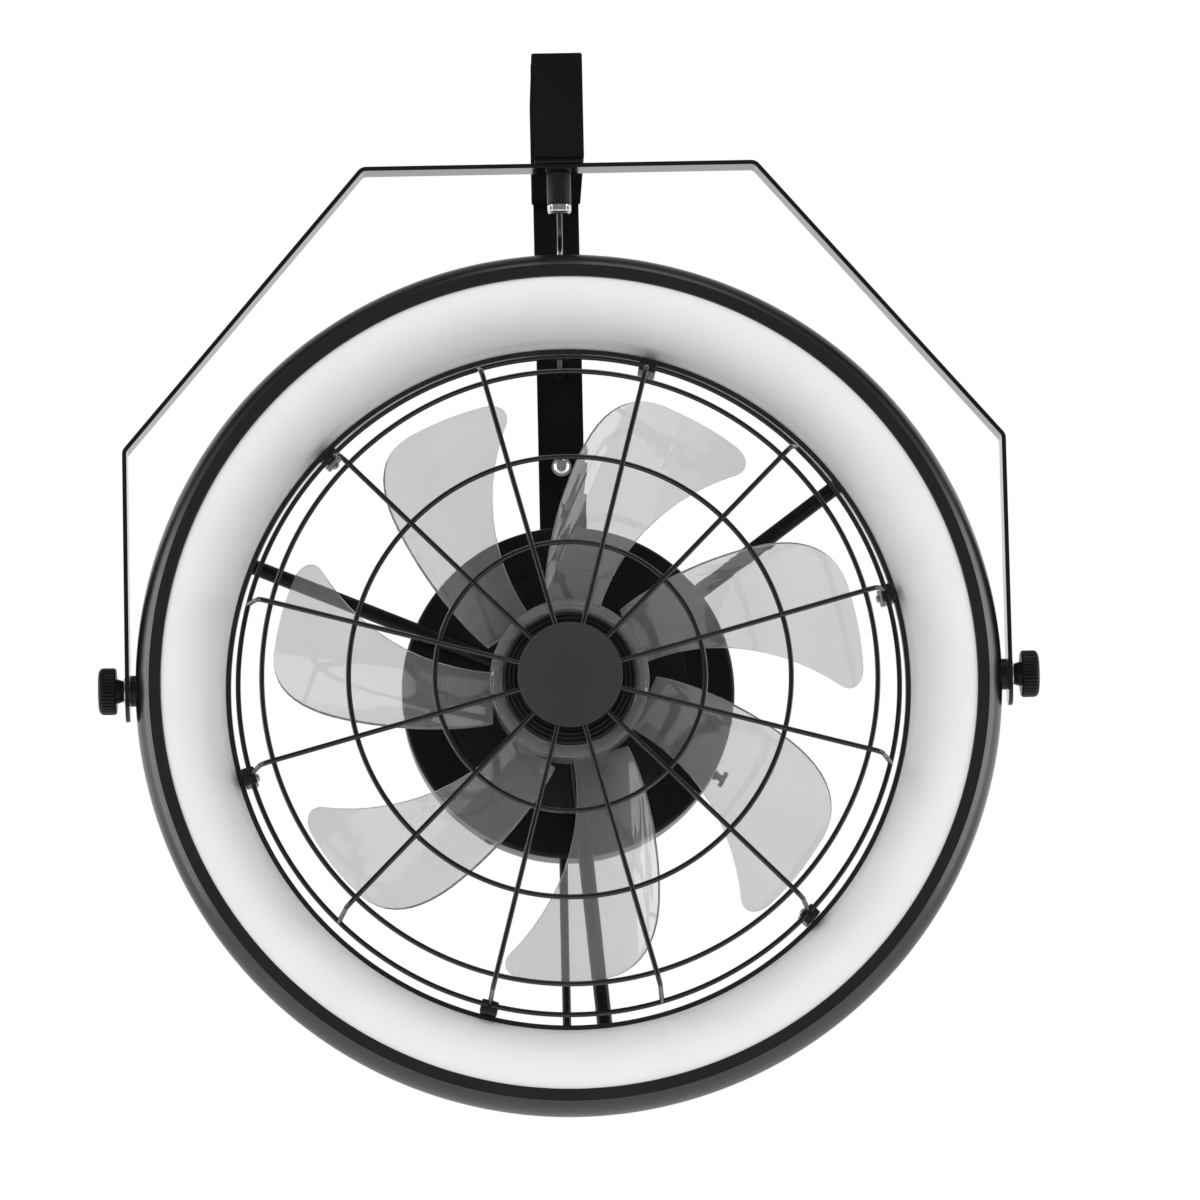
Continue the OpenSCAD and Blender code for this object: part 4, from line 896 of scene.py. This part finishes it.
@dataclass
class Canopy:
    """The canopy behind the fan, its support arms and the light's lead."""

    radius: float = 97.5
    depth: float = 40.0
    front: float = 51.6
    plateau_r: float = 71.0
    plateau_h: float = 3.0
    plateau_edge: float = 1.5
    plateau_corner: float = 0.5
    sheet: float = 1.5
    edge: float = 3.0
    arm_d: float = 9.0
    arm_angles: Triple = (36.3, 157.3, 275.0)
    arm_start: float = 26.0
    arm_end: float = 216.1
    arm_gap: float = 0.1
    foot: Triple = (14.0, 25.0, 3.0)
    foot_back: float = 33.4
    foot_edge: float = 0.8
    # The riser from arm to foot: how much it is slimmer than they are, its reach and its place
    riser_slimmer: float = 0.6
    riser_reach: float = 2.0
    riser_inset: float = 0.2
    lead_d: float = 5.0
    lead_x: float = -4.6
    lead_depth: float = 12.0
    lead_start: float = 4.0
    lead_bend: float = 7.0
    lead_end_z: float = -31.8
    lead_foot_r: float = 202.5

    def _shell(self) -> None:
        """Adds the canopy's pressed shell."""
        z, r, t, flat = -self.front, self.radius, self.sheet, self.plateau_r
        raised, edge, corner = z + self.plateau_h, self.plateau_edge, self.plateau_corner
        section = ([(0, raised), (flat - edge, raised), (flat - corner, raised - corner),
                    (flat, raised - edge), (flat, z)]
                   + arc((r - self.edge, z - self.edge), self.edge, self.edge, 90, 0, steps=10)
                   + [(r, z - self.depth), (r - t, z - self.depth)]
                   + arc((r - self.edge, z - self.edge), self.edge - t, self.edge - t, 0, 90,
                         steps=8)
                   + [(flat - t, z - t), (flat - t, raised - t), (0, raised - t)])
        piece = Piece("canopy")
        piece.turned(section, FAN, steps=224, closed=False)
        piece.done(Body.FAN, PAINT, "canopy_shell")

    def _arms(self) -> None:
        """Adds the three round support arms with their feet."""
        level = -self.front + self.plateau_h + self.arm_d / 2 + self.arm_gap
        foot_x = self.arm_end - self.foot[0] / 2
        foot_z = -self.foot_back - self.foot[2] / 2
        riser = foot_z - self.foot[2] / 2 - level
        slim = self.riser_slimmer
        piece = Piece("support_arms_round")
        for angle in self.arm_angles:
            here = FAN @ spin_by(angle)
            piece.pin(self.arm_d, self.arm_end - self.arm_start,
                      here @ shift(self.arm_start, 0, level) @ TO_RIGHT, sides=40)
            piece.block(self.foot, here @ shift(foot_x, 0, foot_z), self.foot_edge)
            piece.block((self.foot[0] - slim, self.arm_d - slim, riser + self.riser_reach),
                        here @ shift(foot_x - self.riser_inset, 0, level + riser / 2), slim)
        piece.done(Body.FAN, PAINT, "support_arms", softened=0.5)

    def _lead(self) -> None:
        """Adds the light's supply lead, bent forward into the ring."""
        z, bend = -self.front - self.lead_depth, self.lead_bend
        start = -(self.radius - self.sheet - self.lead_start)
        turn_y = -self.lead_foot_r + bend
        piece = Piece("light_lead_bent")
        piece.bar([(self.lead_x + x, start, z + y) for x, y in circle(self.lead_d, sides=24)], [
            ("push", Vector((0, turn_y - start, 0))),
            ("bend", Vector((self.lead_x, turn_y, z + bend)), (-1, 0, 0), 90, BEND_STEPS),
            ("push", Vector((0, 0, self.lead_end_z - z - bend)))])
        piece.placed(set(), FAN)
        piece.done(Body.FAN, MOULDED, "light_lead")

    def build(self) -> None:
        """Makes and dresses the canopy."""
        self._shell()
        self._arms()
        self._lead()
        PAINT.dress("canopy_rim_screws", "canopy_thumb_screw")
        MOULDED.dress("canopy_gland")
        ZINC.dress("canopy_back_plate", "driver_standoffs", "support_arm_screws")
        GREEN_MASK.dress("driver_board")
        PARTS.dress("driver_parts")
        IVORY.dress("remote_receiver")


@dataclass
class Cage:
    """Front cage of welded wire, its cap and its clips."""

    wire: float = 3.0
    ring_radii: Triple = (77.3, 126.5, 176.0)
    # Gap between the spokes and the rings in front of which they lie
    ring_gap: float = 0.02
    rim_r: float = 191.1
    rim_back: float = 6.0
    front: float = 46.0
    cap_r: float = 30.0
    cap_t: float = 4.5
    cap_back_edge: float = 0.3
    cap_edge: float = 0.7
    spokes: int = 12
    first_spoke: float = 15.0
    spoke_start: float = 14.0
    bend_r: float = 6.0
    splay: float = 10.4
    bead: Triple = (1.7, 1.7, 0.7)
    clips: int = 6
    clip: Triple = (7.6, 10.0, 28.2)
    clip_edge: float = 0.9
    clip_mid_r: float = 192.1
    clip_top: float = -5.2
    fit: float = 0.05

    def __post_init__(self) -> None:
        """Works out where the spokes lie and bend."""
        self.lean = math.radians(self.splay)
        self.spoke_z = self.front - self.cap_t - self.wire / 2
        self.ring_z = self.spoke_z - self.wire - self.ring_gap
        end_z = self.spoke_z - self.bend_r + self.bend_r * math.sin(self.lean)
        self.leg = (end_z + self.rim_back - self.wire / 2 - self.fit) / math.cos(self.lean)
        self.bend_x = (self.rim_r - self.leg * math.sin(self.lean)
                       - self.bend_r * math.cos(self.lean))

    def _spokes(self) -> None:
        """Adds the bent spokes, with a bead of weld where each crosses a ring."""
        centre = Vector((self.bend_x, 0, self.spoke_z - self.bend_r))
        down = Vector((math.sin(self.lean), 0, -math.cos(self.lean)))
        outline = [(self.spoke_start, x, self.spoke_z + y) for x, y in circle(self.wire, sides=12)]
        piece = Piece("cage_spoke_wires")
        for angle in spread(self.spokes, self.first_spoke):
            before = set(piece.mesh.verts)
            piece.bar(outline, [
                ("push", Vector((self.bend_x - self.spoke_start, 0, 0))),
                ("bend", centre, (0, 1, 0), 90 - self.splay, BEND_STEPS),
                ("push", down * self.leg)])
            for radius in self.ring_radii:
                seat = shift(radius, 0, self.spoke_z - self.wire / 2)
                bmesh.ops.create_uvsphere(piece.mesh, u_segments=10, v_segments=6, radius=1.0,
                                          matrix=seat @ Matrix.Diagonal((*self.bead, 1)))
            piece.placed(before, FAN @ spin_by(angle))
        piece.done(Body.FAN, WIRE_PAINT, "cage_spokes")

    def _rings(self) -> None:
        """Adds the three front rings and the rim wire."""
        piece = Piece("cage_ring_wires")
        for radius in self.ring_radii:
            piece.hoop(radius, self.wire, FAN @ shift(z=self.ring_z))
        piece.done(Body.FAN, WIRE_PAINT, "cage_rings")
        rim = Piece("cage_rim")
        rim.hoop(self.rim_r, self.wire, FAN @ shift(z=-self.rim_back))
        rim.done(Body.FAN, WIRE_PAINT, "cage_rim_wire")

    def _cap(self) -> None:
        """Adds the flat round cap with its softened edge."""
        r, t, edge, back_edge = self.cap_r, self.cap_t, self.cap_edge, self.cap_back_edge
        section = [(0, 0), (r - back_edge, 0), (r, back_edge), (r, t - edge)]
        section += arc((r - edge, t - edge), edge, edge, 0, 90, steps=6)[1:] + [(0, t)]
        piece = Piece("front_cap")
        piece.turned(section, FAN @ shift(z=self.front - t), steps=160, closed=False)
        piece.done(Body.FAN, CAP_GREY, "cage_cap")

    def _clips(self) -> None:
        """Adds the clips that hold the rim wire to the ring."""
        piece = Piece("rim_clips")
        middle = shift(self.clip_mid_r, 0, self.clip_top - self.clip[2] / 2)
        for angle in spread(self.clips, self.first_spoke):
            piece.block(self.clip, FAN @ spin_by(angle) @ middle, self.clip_edge)
        piece.done(Body.FAN, MOULDED, "cage_clips")

    def build(self) -> None:
        """Makes and dresses the cage."""
        self._spokes()
        self._rings()
        self._cap()
        self._clips()
        ZINC.dress("clip_screws")
        PAINT.dress("cage_back_plate")


@dataclass
class Rotor:
    """Clear hub with its blades, the ridged cover and the motor."""

    blades: int = 7
    first_blade: float = 14.9
    root_r: float = 44.3
    tip_r: float = 171.7
    blade_w: float = 93.0
    blade_t: float = 1.8
    camber_r: float = 160.0
    pitch: float = 27.1
    mid_z: float = -3.75
    # Half the chord that the camber is set out from, as a share of the width
    chord: float = 0.56
    strips: int = 20
    edge_steps: int = 12
    hole_r: float = 6.0
    hub_r: float = 45.7
    hub_t: float = 1.8
    hub_front: float = 24.0
    hub_front_t: float = 2.0
    hub_edge: float = 1.0
    hub_back: float = -16.0
    bore_r: float = 38.4
    bore_edge: float = 0.4
    can_front: float = 19.8
    floor_t: float = 2.5
    cover_t: float = 3.0
    cover_play: float = 0.2
    cap_r: float = 30.0
    ridges: int = 3
    ridge_h: float = 0.9
    # Half a ridge's width, as a share of the step between ridges
    ridge_w: float = 0.42
    ridge_margin: float = 0.6
    land_margin: float = 0.4
    # Bezier edges of a blade's outline: share of the span, share of the width
    edges: tuple[tuple[Point, ...], ...] = (
        ((0, 0.01), (0.359, 0.065), (0.657, -0.15), (0.853, -0.462)),
        ((0.853, -0.462), (0.892, -0.516), (0.955, -0.495), (0.973, -0.368)),
        ((0.973, -0.368), (0.996, -0.215), (1.003, -0.086), (0.998, 0.065)),
        ((0.998, 0.065), (1.002, 0.344), (0.853, 0.473), (0.618, 0.484)),
        ((0.618, 0.484), (0.398, 0.5), (0.092, 0.441), (-0.086, 0.314)))

    def _outline(self) -> list[Point]:
        """The outline of a blade, seen along the axis."""
        span = self.tip_r - self.root_r
        points = []
        for corners in self.edges:
            for i in range(self.edge_steps):
                t = i / self.edge_steps
                s = 1 - t
                shares = (s ** 3, 3 * s * s * t, 3 * s * t * t, t ** 3)
                x, y = (sum(w * p[k] for w, p in zip(shares, corners)) for k in (0, 1))
                points.append((self.root_r + x * span, y * self.blade_w))
        return points

    def _blade(self, piece: Piece, angle: float) -> None:
        """Adds one cambered blade.

        Args:
            piece: the moulding that it belongs to.
            angle: its direction, in degrees.
        """
        mesh, width = piece.mesh, self.blade_w
        before = set(mesh.verts)
        mesh.faces.new([mesh.verts.new((x, y, 0)) for x, y in self._outline()])
        for i in range(1, self.strips):
            flat = piece.added(before)
            parts = flat + list({e for v in flat for e in v.link_edges}) + list(
                {f for v in flat for f in v.link_faces})
            level = -0.5 * width + width * i / self.strips
            bmesh.ops.bisect_plane(mesh, geom=parts, dist=MERGE, plane_co=(0, level, 0),
                                   plane_no=(0, 1, 0))
        lift = math.sqrt(self.camber_r ** 2 - (self.chord * width) ** 2)
        tilt = math.radians(self.pitch)
        mid_y, mid_z = -lift * math.sin(tilt), self.mid_z + lift * math.cos(tilt)
        sheet = piece.added(before)
        radius = self.camber_r + self.blade_t / 2
        for v in sheet:
            v.co.z = mid_z - math.sqrt(radius ** 2 - (v.co.y - mid_y) ** 2)
        faces = list({f for v in sheet for f in v.link_faces})
        bmesh.ops.recalc_face_normals(mesh, faces=faces)
        if faces[0].normal.z > 0:
            bmesh.ops.reverse_faces(mesh, faces=faces)
        bmesh.ops.solidify(mesh, geom=faces, thickness=self.blade_t)
        piece.placed(before, FAN @ spin_by(angle))

    def _moulding(self) -> None:
        """Adds the hub and its blades, one clear moulding."""
        r, bore, t, top = self.hub_r, self.bore_r, self.hub_t, self.hub_front
        floor, under, edge = self.can_front, top - self.hub_front_t, self.hub_edge
        section = [(self.hole_r, floor), (bore, floor), (bore, 0), (bore + t, 0),
                   (bore + t, under), (r - t, under), (r - t, self.hub_back), (r, self.hub_back),
                   (r, top - edge)]
        section += arc((r - edge, top - edge), edge, edge, 0, 90, steps=5)[1:]
        section += [(bore + self.bore_edge, top), (bore, top - self.bore_edge),
                    (bore, floor + self.floor_t), (self.hole_r, floor + self.floor_t)]
        piece = Piece("clear_blades")
        piece.turned(section, FAN, steps=192)
        for angle in spread(self.blades, self.first_blade):
            self._blade(piece, angle)
        piece.done(Body.ROTOR, CLEAR_GREY, "blade_set", softened=0.4, crease=50)

    def _cover(self) -> None:
        """Adds the black cover with its round ridges."""
        r, t = self.bore_r - self.cover_play, self.cover_t
        step = (r - self.cap_r - self.ridge_margin) / self.ridges
        section = [(self.hole_r, 0), (r, 0)]
        for i in range(self.ridges):
            middle = r - step * (i + 0.5)
            section += arc((middle, t - self.ridge_h), step * self.ridge_w, self.ridge_h, 0, 180,
                           steps=8)
        section += [(r - step * self.ridges - self.land_margin, t), (self.hole_r, t)]
        piece = Piece("ridged_cover")
        piece.turned(section, FAN @ shift(z=self.can_front + self.floor_t), steps=160)
        piece.done(Body.ROTOR, MOULDED, "motor_cover")

    def build(self) -> None:
        """Makes and dresses the rotor and the motor."""
        self._moulding()
        self._cover()
        ALLOY.dress("rotor_can", "motor_base")
        MAGNET.dress("rotor_magnets")
        ZINC.dress("motor_shaft", "cover_screws", "motor_base_screws", "motor_bearings")
        IRON.dress("stator_core")
        COPPER.dress("stator_coils")


@dataclass
class ClampKnobs:
    """The two grooved knobs that clamp the ring in the yoke."""

    diameter: float = 27.0
    depth: float = 10.2
    back_edge: float = 1.0
    front_edge: float = 3.0
    neck: float = 4.5
    neck_r: float = 5.8
    neck_root_r: float = 7.3
    washer_d: float = 15.0
    washer_t: float = 0.8
    stud_d: float = 8.0
    stud_start: float = 244.6
    yoke_face: float = 255.5
    grooves: int = 40
    groove_depth: float = 0.55
    # Facets from one groove to the next
    pitch: int = 4

    def _knob(self, side: str, flip: Matrix, body: Body) -> None:
        """Adds one knob with its stud and washer.

        Args:
            side: left or right.
            flip: mirrors the left one.
            body: the body that it rides on.
        """
        def along(x: float) -> Matrix:
            """The place at x on the knob's axis, its z outward."""
            return flip @ FAN @ shift(x) @ TO_RIGHT

        r, steps, round_r = self.diameter / 2, self.grooves * self.pitch, self.front_edge
        seat = self.yoke_face + self.washer_t + self.neck
        section = ([(0, -self.neck), (self.neck_r, -self.neck), (self.neck_root_r, 0),
                    (r - self.back_edge, 0), (r, self.back_edge)]
                   + arc((r - round_r, self.depth - round_r), round_r, round_r, 0, 90, steps=8)
                   + [(0, self.depth)])
        piece = Piece(f"knob_{side}_grooved")
        for v in piece.turned(section, steps=steps, closed=False):
            out = v.co.xy.length
            place = round(math.atan2(v.co.y, v.co.x) / TURN * steps) % self.pitch
            if out > r - self.groove_depth and place == 0:
                v.co.xy *= (r - self.groove_depth) / out
        piece.placed(set(), along(seat))
        piece.done(body, KNOB_BLACK, f"clamp_knob_{side}", crease=28)
        metal = Piece(f"knob_{side}_stud")
        metal.pin(self.stud_d, seat - self.stud_start, along(self.stud_start))
        metal.pin(self.washer_d, self.washer_t, along(self.yoke_face))
        metal.done(body, ZINC, softened=0.15)

    def build(self) -> None:
        """Makes and dresses both knobs."""
        self._knob("right", UNMOVED, Body.KNOB_RIGHT)
        self._knob("left", Matrix.Scale(-1, 4, (1, 0, 0)), Body.KNOB_LEFT)


def main() -> None:
    """Builds the scene: the camera and the cable first, then each sub-assembly."""
    logging.basicConfig(level=logging.INFO, format="%(message)s")
    for part in (Viewpoint(), MainsCable(), Studio(), Bracket(), Yoke(), RingLight(), Canopy(),
                 Cage(), Rotor(), ClampKnobs()):
        part.build()


if __name__ == "__main__":
    main()
